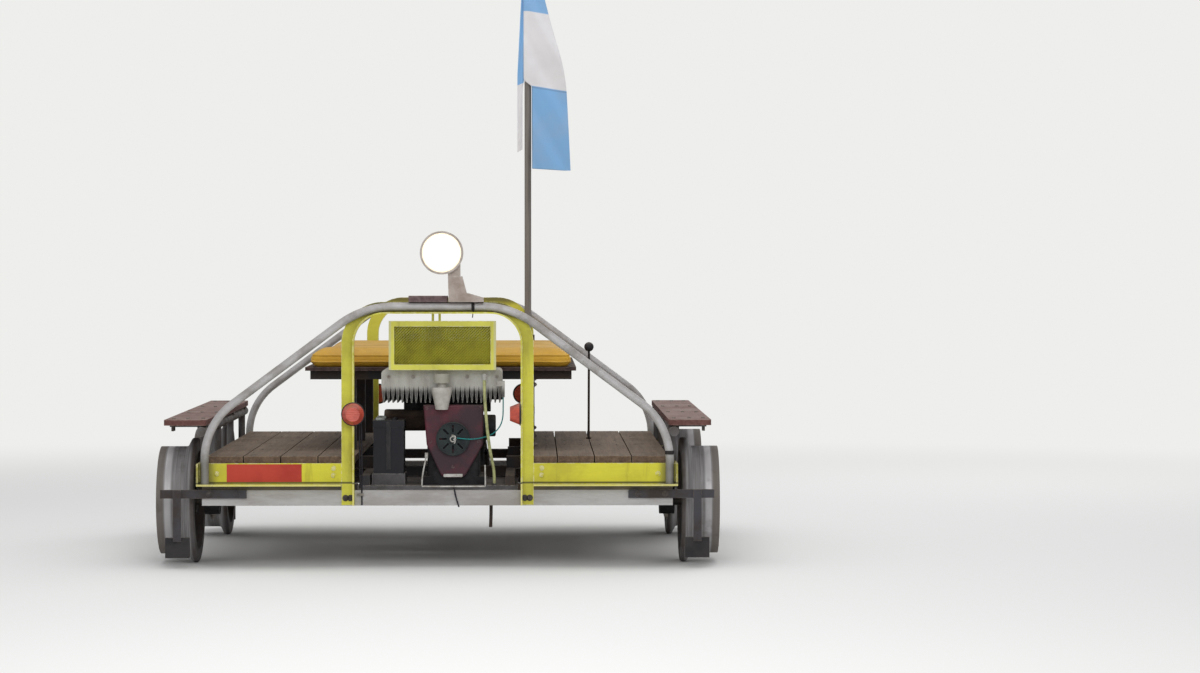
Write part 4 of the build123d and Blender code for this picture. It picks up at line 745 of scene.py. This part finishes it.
# Bench: angle iron posts and bearers bolted on the deck, a dark plank board, and a foam cushion
# in orange vinyl with a welt of the same vinyl piped round its edges. The cushion is blown up
# softly by a cloth simulation, and dust and use have soiled its top.
coat(black_steel, "seat_posts", "seat_bearers")
post_low, post_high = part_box("seat_posts")
marks = []
for side in (-1, 1):
    for station in (post_low.y + 0.015, (post_low.y + post_high.y) / 2, post_high.y - 0.015):
        for z in (deck_high.z + 0.018, post_high.z - 0.018):
            marks.append(((side * post_high.x, station, z), (side, 0, 0)))
fasten("seat_bolts", marks, zinc, head=(0.006, 0.0045), washer=0.009, thread=(0.003, 0.002))
coat(planks("dark_wood", rgb(84, 66, 62), rgb(64, 48, 46), rgb(38, 28, 28), rgb(112, 92, 84), settled=0.2),
     "seat_board")
tree = blank("orange_vinyl")
place = place_in(tree)
creases = use(tree, blotches, scale=26.0, low=0.3, high=0.7)
cells = wire(tree, "TexVoronoi", {"Vector": place, "Scale": 420.0}, feature="DISTANCE_TO_EDGE").outputs[0]
soil = use(tree, blotches, scale=4.0, low=0.36, high=0.8)
edges = use(tree, edge_wear, radius=0.006, amount=0.5)
# The pale colour on the cushion's edges is partly wear and partly a painted highlight along its rounded top.
mixed = layered(tree, rgb(216, 168, 52), (soil, 1, rgb(190, 142, 44)), (creases, 0.2, rgb(150, 108, 40)),
                (edges, 1, rgb(232, 204, 140)), (use(tree, dust, amount=0.15), 1, grey_dust))
shine = sums(tree, "ADD", 0.36, times(tree, soil, 0.2))
height = sums(tree, "ADD", spread(tree, cells, 0.0, 0.18), creases)
vinyl = finish("orange_vinyl", mixed, shine, 0.0, height, 0.0003)
seat_low, seat_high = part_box("seat_cushion")
side_inset, height_inset, drop, rounding, grid = 0.009, 0.016, 0.006, 0.012, 0.009
most_swell, crown, swelling_time = 0.018, 0.008, 20
size = [high - low - 2 * side_inset for low, high in zip(seat_low, seat_high)]
size[2] = seat_high.z - seat_low.z - height_inset
middle = (seat_low + seat_high) / 2 - Vector((0, 0, drop))
cushion = new_piece("bench_cushion", rounded_box("bench_cushion", size, middle, rounding, segments=3), vinyl)
remesh = cushion.modifiers.new("remesh", "REMESH")
remesh.mode = "VOXEL"
remesh.voxel_size = grid
cushion.modifiers.new("smooth", "SMOOTH").iterations = 6
apply_all(cushion)
start = [vertex.co.copy() for vertex in cushion.data.vertices]
cloth = cushion.modifiers.new("cloth", "CLOTH").settings
cloth.use_pressure = True
cloth.uniform_pressure_force = 4.0
cloth.effector_weights.gravity = 0.0
for frame_number in range(1, swelling_time + 1):
    scene.frame_set(frame_number)
apply_all(cushion)
scene.frame_set(1)
for vertex, first in zip(cushion.data.vertices, start):
    moved = vertex.co - first
    if moved.length > most_swell:
        moved *= most_swell / moved.length
    spot = first + moved
    spot.x = min(max(spot.x, seat_low.x), seat_high.x)
    spot.y = min(max(spot.y, seat_low.y), seat_high.y)
    spot.z = min(max(spot.z, seat_low.z), seat_high.z + crown)
    vertex.co = spot
smooth(cushion.data)
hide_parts("seat_cushion")
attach(cushion, "chassis")

bpy.context.view_layer.update()
corner_radius, welt_radius, welt_out, corner_steps, side_steps = 0.022, 0.0034, 0.0008, 4, 24
outline = []
for corner_x, corner_y, first_turn, along in (
    (seat_high.x, seat_high.y, 0.0, (-1, 0)), (seat_low.x, seat_high.y, 0.25, (0, -1)),
    (seat_low.x, seat_low.y, 0.5, (1, 0)), (seat_high.x, seat_low.y, 0.75, (0, 1)),
):
    centre_x = corner_x - corner_radius * (1 if corner_x > 0 else -1)
    centre_y = corner_y - corner_radius * (1 if corner_y == seat_high.y else -1)
    for i in range(corner_steps + 1):
        turn = tau * (first_turn + 0.25 * i / corner_steps)
        outline.append((centre_x + corner_radius * cos(turn), centre_y + corner_radius * sin(turn)))
    length = (seat_high.x - seat_low.x if along[0] else seat_high.y - seat_low.y) - 2 * corner_radius
    for i in range(1, side_steps):
        outline.append(tuple(value + toward * length / side_steps for value, toward in zip(outline[-1], along)))
edge_runs = []
for edge_z in (seat_high.z - 0.002, seat_low.z + 0.009):
    on_cushion = [cushion.closest_point_on_mesh((x, y, edge_z)) for x, y in outline]
    edge_runs.append([tuple(spot + normal * welt_out) for found, spot, normal, face in on_cushion])
tube_along("cushion_piping", edge_runs, welt_radius, vinyl, cyclic=True, sides=2)

# Engine: an iron block on a grey painted bed, under a cast aluminium cover with a comb of fins
# and low ribs, held by small screws. Painted shade darkens the cover and its fins below; a dark web
# and duct close the barrel behind them. A pale cast fuel bowl hangs in front, a black air cleaner on the right.
coat(cast_iron, "engine_block")
grey = weathered("grey_paint", rgb(80, 78, 80), rgb(62, 59, 58), rgb(150, 146, 140),
                 rough=0.6, patch=6.0, settled=0.4)
coat(grey, "engine_bed")
tree = blank("cast_aluminium")
stained = use(tree, blotches, scale=11.0, stretch=(1.0, 1.0, 0.5), low=0.4, high=0.66)
sand = use(tree, blotches, scale=300.0, low=0.2, high=0.8)
edges = use(tree, edge_wear, radius=0.003, amount=0.8)
lying = use(tree, dust, amount=0.4)
# Painted shade: the casting turns dark towards its foot, where the fins lie in shadow.
painted_shade_below = spread(tree, along_axes(tree)[2], 0.592, 0.568)
mixed = layered(tree, rgb(178, 177, 171), (stained, 1, rgb(150, 147, 140)), (sand, 0.25, rgb(128, 124, 118)),
                (painted_shade_below, 0.9, rgb(70, 68, 68)), (edges, 1, rgb(178, 176, 170)), (lying, 1, rgb(120, 110, 98)))
casting = finish("cast_aluminium", mixed, sums(tree, "ADD", 0.52, times(tree, lying, 0.3)), 0.15,
                 sums(tree, "SUBTRACT", sand, edges), 0.0005)
coat(casting, "engine_cover")
cover_low, cover_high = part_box("engine_cover")
rib_count, rib_margin, rib_half, rib_rise = 5, 0.060, 0.004, 0.004
rib_spacing = (cover_high.x - cover_low.x - 2 * rib_margin) / (rib_count - 1)
for number in range(rib_count):
    rib_x = cover_low.x + rib_margin + number * rib_spacing
    block(f"cover_rib_{number + 1}", (rib_x - rib_half, cover_low.y + 0.085, cover_high.z - 0.002),
          (rib_x + rib_half, cover_high.y - 0.030, cover_high.z + rib_rise), casting, bevel=0.0018)
marks = [((x, cover_high.y - 0.2402, 0.622), (0, -1, 0)) for x in (-0.160, -0.080, 0.096, 0.192)]
fasten("cover_screws", marks, zinc, head=(0.0045, 0.0030), washer=0.0065, thread=(0.002, 0.0006))
web_front, web_back, web_margin = -0.612, -0.600, 0.008
block("fin_web", (cover_low.x + web_margin, web_front, 0.5395), (cover_high.x - web_margin, web_back, 0.600), cast_iron)
block("barrel_duct", (-0.118, web_front, 0.500), (0.170, web_back, 0.5400), cast_iron)
bowl_metal = weathered("bowl_aluminium", rgb(184, 180, 174), rgb(158, 154, 147), rgb(206, 204, 200),
                       rgb(130, 122, 110), metal=0.15, patch=16.0, grain=260.0, settled=0.4)
tree = bowl_metal.node_tree
overcoat(bowl_metal, times(tree, spread(tree, along_axes(tree)[2], 0.596, 0.602), 0.8), rgb(148, 146, 132))
coat(bowl_metal, "fuel_bowl")
plastic = weathered("black_plastic", rgb(21, 22, 28), rgb(30, 30, 36), rgb(66, 64, 66), rough=0.6,
                    patch=8.0, worn=0.5, bare_metal=0.0, grain=300.0, lift=0.0002, settled=0.3)
coat(plastic, "air_cleaner")

# Shroud and recoil starter: a pressed steel shroud in dark red enamel, set darker still with painted
# shade, with small screws in the same red, and a slotted green-black plastic starter with a rope ring
# and a bent wire hook. A silver clamp holds its foot, and a guard of bright rod is fixed along the bed.
# Painted shade: this red is set darker than the enamel itself, as the engine bay lies in shade.
enamel_with_painted_shade = weathered("red_enamel", rgb(84, 31, 43), rgb(54, 35, 42), rgb(104, 90, 90), rgb(84, 74, 72), rough=0.42,
                   patch=9.0, low=0.36, high=0.6, worn=0.6, settled=0.5)
coat(enamel_with_painted_shade, "engine_shroud")
starter_plastic = weathered("green_black_plastic", rgb(32, 42, 43), rgb(26, 31, 34), rgb(62, 72, 71),
                            rough=0.55, patch=18.0, worn=0.6, bare_metal=0.0, grain=300.0, lift=0.0002, settled=0.2)
coat(starter_plastic, "recoil_starter")
bright_wire = weathered("bright_wire", rgb(184, 182, 178), rgb(140, 134, 126), rgb(206, 204, 200),
                        rough=0.4, metal=0.4, patch=40.0, worn=0.3, settled=0.2)
shroud_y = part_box("engine_shroud")[0].y
starter_low, starter_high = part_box("recoil_starter")
hub = Vector(((starter_low.x + starter_high.x) / 2, starter_low.y, (starter_low.z + starter_high.z) / 2))
ring_radius, rim_radius, backing_half, starter_wire = 0.0085, 0.0530, 0.036, 0.0022
tube_along("starter_hub_ring", [ring_points((hub.x, hub.y - 0.0005, hub.z), ring_radius, (0, 1, 0))], starter_wire,
           bright_wire, cyclic=True)
hook_bends = ((-0.004, -0.002, 0.013), (0.006, -0.004, 0.012), (0.010, -0.004, 0.003), (0.001, -0.004, -0.001),
              (0.010, -0.004, -0.006), (0.004, -0.003, -0.014))
hook_line = [(hub.x + x, hub.y + y, hub.z + z) for x, y, z in hook_bends]
tube_along("starter_hook", [hook_line], starter_wire, bright_wire)
tube_along("starter_rim", [ring_points((hub.x, hub.y + 0.0125, hub.z), rim_radius, (0, 1, 0), 24)], starter_wire,
           starter_plastic, cyclic=True)
block("starter_backing", (hub.x - backing_half, shroud_y - 0.0006, hub.z - backing_half),
      (hub.x + backing_half, shroud_y + 0.0030, hub.z + backing_half), plastic, bevel=0.001)
marks = [((x, shroud_y + 0.0005, z), (0, -1, 0))
         for x, z in ((-0.036, 0.520), (0.138, 0.520), (0.134, 0.412), (-0.024, 0.412), (0.050, 0.330))]
fasten("shroud_screws", marks, enamel_with_painted_shade, head=(0.0045, 0.0030), washer=0.0062, thread=(0.002, 0.001))
block("shroud_foot_clamp", (0.019, shroud_y - 0.005, 0.2965), (0.081, shroud_y + 0.004, 0.3065), bright_wire)
bed_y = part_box("engine_bed")[0].y
guard_y, guard_z = bed_y - 0.0026, 0.2660
guard_bends = ((-0.037, 0.366), (-0.040, 0.350), (-0.050, 0.300), (-0.051, 0.276), (-0.051, guard_z), (-0.046, guard_z),
               (0.050, guard_z), (0.150, guard_z), (0.155, guard_z), (0.155, 0.276), (0.154, 0.336))
tube_along("engine_guard_rod", [[(x, guard_y, z) for x, z in guard_bends]], 0.0028, bright_wire)
knob = [(x, guard_y, z) for x, z in ((-0.037, 0.358), (-0.0365, 0.366), (-0.036, 0.376))]
tube_along("engine_guard_knob", [knob], 0.0058, bright_wire)

# Drive, exhaust and brake: an oily pulley and rubber belt, an iron gearbox, a silencer burnt
# to brown scale, and black brake rods with a hand lever. A thin breather hose hangs over the
# bed and a bare drain pipe is screwed in under it.
coat(oily_steel, "drive_pulley")
coat(rubber, "drive_belt")
coat(cast_iron, "gearbox")
coat(black_steel, "brake_gear", "brake_lever")
burnt = weathered("rusty_steel", rgb(70, 52, 42), rgb(46, 36, 31), rgb(106, 78, 58), rough=0.85,
                  patch=14.0, low=0.36, high=0.6, bare_metal=0.0, lift=0.0008, settled=0.3)
coat(burnt, "silencer")
dark_wire = weathered("dark_wire", rgb(40, 38, 46), rgb(30, 28, 32), rgb(60, 58, 60), rough=0.7,
                      patch=60.0, worn=0.2, bare_metal=0.0, settled=0.2)
breather = [(x, bed_y - out, z) for x, out, z in (
    (0.052, 0.001, 0.266), (0.054, 0.003, 0.258), (0.058, 0.003, 0.235), (0.064, 0.003, 0.215), (0.069, 0.003, 0.199))]
tube_along("engine_breather", [breather], 0.0024, dark_wire, sides=2)
drain = [(x, -0.762, z) for x, z in ((0.172, 0.256), (0.172, 0.230), (0.173, 0.180), (0.171, 0.128))]
tube_along("drain_pipe", [drain], 0.0055, black_steel)

# Battery: a black plastic case in a grey steel tray, with lead clamps on its two posts, six
# vent plugs pushed into the lid and a rubber strap that holds it down.
coat(plastic, "battery")
coat(grey, "battery_tray")
battery_low, battery_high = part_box("battery")
lid_top, post_x = battery_high.z - 0.010, battery_low.x + 0.022
lead = weathered("lead_clamps", rgb(112, 112, 114), rgb(150, 156, 150), rgb(150, 150, 150), rough=0.6,
                 metal=0.2, patch=60.0, worn=0.4, settled=0.2)
for number, along_y in enumerate((battery_low.y + 0.022, battery_high.y - 0.022), 1):
    block(f"battery_clamp_{number}", (post_x - 0.013, along_y - 0.012, lid_top + 0.0005),
          (post_x + 0.016, along_y + 0.012, lid_top + 0.0095), lead)
vent_x, first_vent, vent_spacing = battery_high.x - 0.034, battery_low.y + 0.020, 0.0235
marks = [((vent_x, first_vent + vent_spacing * i, lid_top - 0.0005), (0, 0, 1)) for i in range(6)]
fasten("battery_vents", marks, plastic, head=(0.0080, 0.0030), washer=0.0092, thread=(0.0050, 0.0012),
       sides=20)
block("battery_strap", (battery_low.x + 0.0445, battery_low.y - 0.0015, 0.320),
      (battery_low.x + 0.0575, battery_low.y + 0.003, lid_top - 0.004), rubber, bevel=0.0006)

# Lamps: a lit headlamp in a painted bowl with a bright rim bead, on a cast bracket and a wooden
# block, and ribbed orange plastic markers on rubber seats. Two wires run down an arch leg to
# them, held by a clip. The headlamp's glass is white in the middle and warmer at its rim.
lamp_paint = weathered("lamp_paint", rgb(170, 158, 150), rgb(140, 126, 116), rgb(196, 190, 182),
                       patch=9.0, settled=0.4)
coat(lamp_paint, "lamp_bracket", "headlamp_bowl")
coat(planks("grey_wood", rgb(122, 102, 102), rgb(96, 76, 77), rgb(58, 46, 46), rgb(146, 134, 130), settled=0.5),
     "lamp_block")
lens_low, lens_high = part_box("headlamp_lens")
lamp_x, lamp_z = (lens_low.x + lens_high.x) / 2, (lens_low.z + lens_high.z) / 2
tree = blank("lamp_glass")
place = place_in(tree)
middle = Vector((lamp_x, (lens_low.y + lens_high.y) / 2, lamp_z))
from_middle = wire(tree, "VectorMath", {0: place, 1: middle}, operation="DISTANCE").outputs["Value"]
fluted = wire(tree, "TexWave", {"Vector": place, "Scale": 26.0, "Distortion": 0.4}, bands_direction="X").outputs["Fac"]
glow_colour = tint(tree, spread(tree, from_middle, 0.033, 0.066), rgb(255, 252, 244), rgb(124, 109, 80))
lit_glass = finish("lamp_glass", rgb(250, 244, 228), 0.12, 0.0, fluted, 0.0004, Specular_IOR_Level=0.5,
                   Emission_Strength=4.5)
link(tree, glow_colour, tree.nodes["Principled BSDF"].inputs["Emission Color"])
coat(lit_glass, "headlamp_lens")
rim_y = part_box("headlamp_bowl")[0].y + 0.0030
tube_along("headlamp_rim", [ring_points((lamp_x, rim_y, lamp_z), 0.0668, (0, 1, 0), 32)], 0.0032, bright_wire,
           cyclic=True)
tree = blank("orange_plastic")
ribs = wire(tree, "TexWave", {"Vector": place_in(tree), "Scale": 55.0, "Distortion": 0.0}, bands_direction="Z")
worn = use(tree, blotches, scale=40.0, low=0.4, high=0.7)
mixed = layered(tree, rgb(192, 82, 64), (worn, 1, rgb(158, 60, 50)), (use(tree, dust, amount=0.35), 1, grey_dust))
marker = finish("orange_plastic", mixed, sums(tree, "ADD", 0.3, times(tree, worn, 0.2)), 0.0, ribs.outputs["Fac"],
                0.0006, Specular_IOR_Level=0.5)
coat(marker, "marker_lamps")
marker_low, marker_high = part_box("marker_lamps")
marker_z, seat_radius = (marker_low.z + marker_high.z) / 2, 0.0360
seats = [ring_points((side * 0.2725, end * 0.8712, marker_z), seat_radius, (0, 1, 0), 20)
         for side, end in ((-1, -1), (-1, 1), (1, 1))]
seats.append(ring_points((0.2688, -0.850, marker_z), seat_radius, (1, 0, 0), 20))
tube_along("marker_seats", seats, 0.0030, rubber, cyclic=True, sides=2)
wire_y = -0.8335
tube_along("lamp_wiring", [
    [(-0.262, -0.842, 0.490), (-0.254, wire_y - 0.002, 0.484), (-0.247, wire_y, 0.470), (-0.2465, wire_y, 0.400),
     (-0.2455, wire_y, 0.320), (-0.2465, wire_y, 0.262), (-0.246, wire_y, 0.206)],
    [(-0.254, wire_y, 0.476), (-0.2535, wire_y, 0.400), (-0.2525, wire_y, 0.300), (-0.252, wire_y, 0.262)],
], 0.0024, dark_wire, sides=2)
block("lamp_wiring_clip", (-0.262, wire_y - 0.0035, 0.236), (-0.240, -0.8295, 0.244), zinc, bevel=0.001)

# Flag: light woven nylon in three stripes, tied to a turned pole of greyed wood that two black
# clamps hold to the rear arch. It hangs limp: the front breadth lies in front of the pole, the
# rest folds up behind it, and the fly end droops on the left.
pole_wood = weathered("pole_wood", rgb(124, 119, 114), rgb(94, 89, 84), rgb(150, 146, 138), rough=0.65,
                      patch=30.0, stretch=(1.0, 1.0, 0.04), bare_metal=0.0, settled=0.2)
coat(pole_wood, "flag_pole")
coat(black_steel, "pole_clamps")
flag_low, flag_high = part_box("flag")
pole_low, pole_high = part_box("flag_pole")
pole_middle, pole_front = (pole_low.x + pole_high.x) / 2, pole_low.y
free_z, panel_foot, strip_foot = 1.662, flag_low.z + 0.004, flag_low.z + 0.074
flag_top, flag_drop = flag_high.z - 0.004, flag_high.z - 0.004 - flag_low.z
rows_up, columns_in_layer, layer_count = 72, 14, 11


def flag_edges(z):
    """Left and right edge of the folded cloth at a height, along X."""
    down = (flag_top - z) / flag_drop
    # The folds widen fast under the first tie, then only a little, and once more at the foot
    wide = down / 0.60
    if wide < 0.86:
        wide = wide ** 1.35
    else:
        wide = 0.86 ** 1.35 + 0.16 * (1 - (1 - min(1.0, (wide - 0.86) / 0.28)) ** 2)
    right = pole_middle + 0.021 + 0.126 * wide + 0.018 * max(0.0, down - 0.60) / 0.40
    held = min(1.0, max(0.0, (z - free_z + 0.012) / 0.030))
    return pole_high.x + 0.004 - held * held * (3 - 2 * held) * 0.033, right


def flag_row(z):
    """The cloth's line across one height, from the hoist through its folded layers."""
    left, right = flag_edges(z)
    down = (flag_top - z) / flag_drop
    line = [(max(left + 0.010, pole_middle - 0.002), pole_front - 0.0020), (left + 0.002, pole_front - 0.0045)]
    front, back = pole_front - 0.0125, flag_high.y - 0.002
    for layer in range(layer_count):
        depth = front + (back - front) * (layer / (layer_count - 1)) ** 1.15
        start = left if layer == 0 else pole_high.x + 0.004 + 0.004 * sin(3.0 * layer + 4.0 * down)
        end = right - 0.006 * (layer % 3) * min(1.0, 3 * down) - 0.002 * layer
        stops = [start + (end - start) * i / (columns_in_layer - 1) for i in range(columns_in_layer)]
        if layer % 2:
            stops.reverse()
        for x in stops:
            slant = (x - pole_middle) / 0.18 * 9.0 - down * 25.0
            swell = 0.0034 * sin(slant) + 0.0009 * sin(2.1 * slant + 1.1 + 2 * layer)
            fade = 1.0 if layer == 0 else 0.55
            line.append((x, depth + swell * fade * min(1.0, 6 * down + 0.15)))
    cut = [line[0]]
    for a, b in zip(line, line[1:]):
        cut.append((0.75 * a[0] + 0.25 * b[0], 0.75 * a[1] + 0.25 * b[1]))
        cut.append((0.25 * a[0] + 0.75 * b[0], 0.25 * a[1] + 0.75 * b[1]))
    return cut + [line[-1]]


points, stripe = [], []
for i in range(rows_up + 1):
    z = flag_top + (panel_foot - flag_top) * i / rows_up
    for x, y in flag_row(z):
        over = (x - pole_middle) / 0.16
        points.append((x, y, z - 0.010 * over * max(0.0, (i - rows_up + 12) / 12)))
        stripe.append(z + 0.025 * max(0.0, over))
first, strip_rows, strip_columns = len(points), 60, 9
faces = grid_faces(rows_up, first // (rows_up + 1)) + grid_faces(strip_rows, strip_columns, first)
for i in range(strip_rows + 1):
    z = flag_top - 0.030 + (strip_foot - flag_top + 0.030) * i / strip_rows
    down = (flag_top - z) / flag_drop
    left = flag_low.x + 0.003 + 0.026 * max(0.0, 1 - down / 0.6)
    width = 0.2715 + 0.005 * min(1.0, max(0.0, (z - free_z) / 0.03 + 0.5)) - left
    for j in range(strip_columns):
        across = j / (strip_columns - 1)
        y = pole_front - 0.0035 + 0.0018 * sin(9 * across + 7 * down) + 0.0012 * sin(21 * down)
        points.append((left + width * across, y, z - 0.012 * (1 - across) * max(0.0, (i - strip_rows + 8) / 8)))
        stripe.append(max(1.80, min(2.1, 1.935 + 6 * (z - free_z + 0.004 - 0.010 * across))))
tree = blank("flag_cloth")
height_in_cloth = wire(tree, "Attribute", attribute_name="stripe").outputs["Fac"]
white = times(tree, spread(tree, height_in_cloth, 1.657, 1.661), spread(tree, height_in_cloth, 1.937, 1.933))
soil = use(tree, blotches, scale=5.0, low=0.4, high=0.7)
place = place_in(tree)
warp, weft = (wire(tree, "TexWave", {"Vector": place, "Scale": 300.0}, bands_direction=axis).outputs["Fac"]
              for axis in ("X", "Z"))
seam = spread(tree, sums(tree, "ABSOLUTE", sums(tree, "SUBTRACT", height_in_cloth, 1.654)), 0.0035, 0.002)
mixed = layered(tree, rgb(126, 174, 220), (white, 1, rgb(222, 221, 224)), (soil, 0.2, rgb(170, 166, 164)),
                (seam, 0.4, rgb(96, 120, 156)))
nylon = finish("flag_cloth", mixed, 0.85, 0.0, times(tree, warp, weft), 0.0002, Sheen_Weight=0.2)
mesh = new_mesh("flag_sheet", points, faces)
for item, value in zip(mesh.attributes.new("stripe", "FLOAT", "POINT").data, stripe):
    item.value = value
smooth(mesh)
flag = new_piece("flag_sheet", mesh, nylon)
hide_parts("flag")
settle(flag)

# Fuel hose and starter cord: a khaki rubber hose that leaves the engine cover and hangs in
# front of the bed, and a braided teal cord from the starter's ring to its hook on the cover.
hose_rubber = weathered("khaki_hose", rgb(170, 172, 120), rgb(130, 132, 92), rgb(190, 190, 150),
                        patch=30.0, bare_metal=0.0, worn=0.0, settled=0.2)
braid = weathered("teal_cord", rgb(40, 130, 128), rgb(26, 96, 96), rgb(90, 160, 156), rough=0.8,
                  patch=300.0, bare_metal=0.0, worn=0.0, settled=0.1)
hose_route = [(0.152, -0.842, 0.612), (0.152, -0.842, 0.562), (0.157, -0.846, 0.500), (0.163, -0.844, 0.434),
              (0.172, -0.836, 0.370), (0.184, -0.816, 0.316), (0.184, -0.816, 0.275)]
cord_route = [(0.0635, -0.845, 0.424), (0.080, -0.845, 0.422), (0.102, -0.844, 0.420), (0.127, -0.838, 0.421),
              (0.152, -0.8325, 0.426), (0.176, -0.832, 0.435), (0.195, -0.833, 0.450), (0.207, -0.834, 0.470),
              (0.212, -0.834, 0.491), (0.213, -0.834, 0.513), (0.213, -0.8335, 0.556)]
for name, node, route, diameter, length, material, stiffness, lay in (
    ("hose", "fuel_hose", hose_route, 0.010, 0.343, hose_rubber, "stiff", "hanging"),
    ("pull_cord", "starter_cord", cord_route, 0.004, 0.249, braid, "limp", "loose"),
):
    cord = bent_line(name, [route], diameter / 2, material, resolution=12, sides=4)
    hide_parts(node)
    settle(cord)
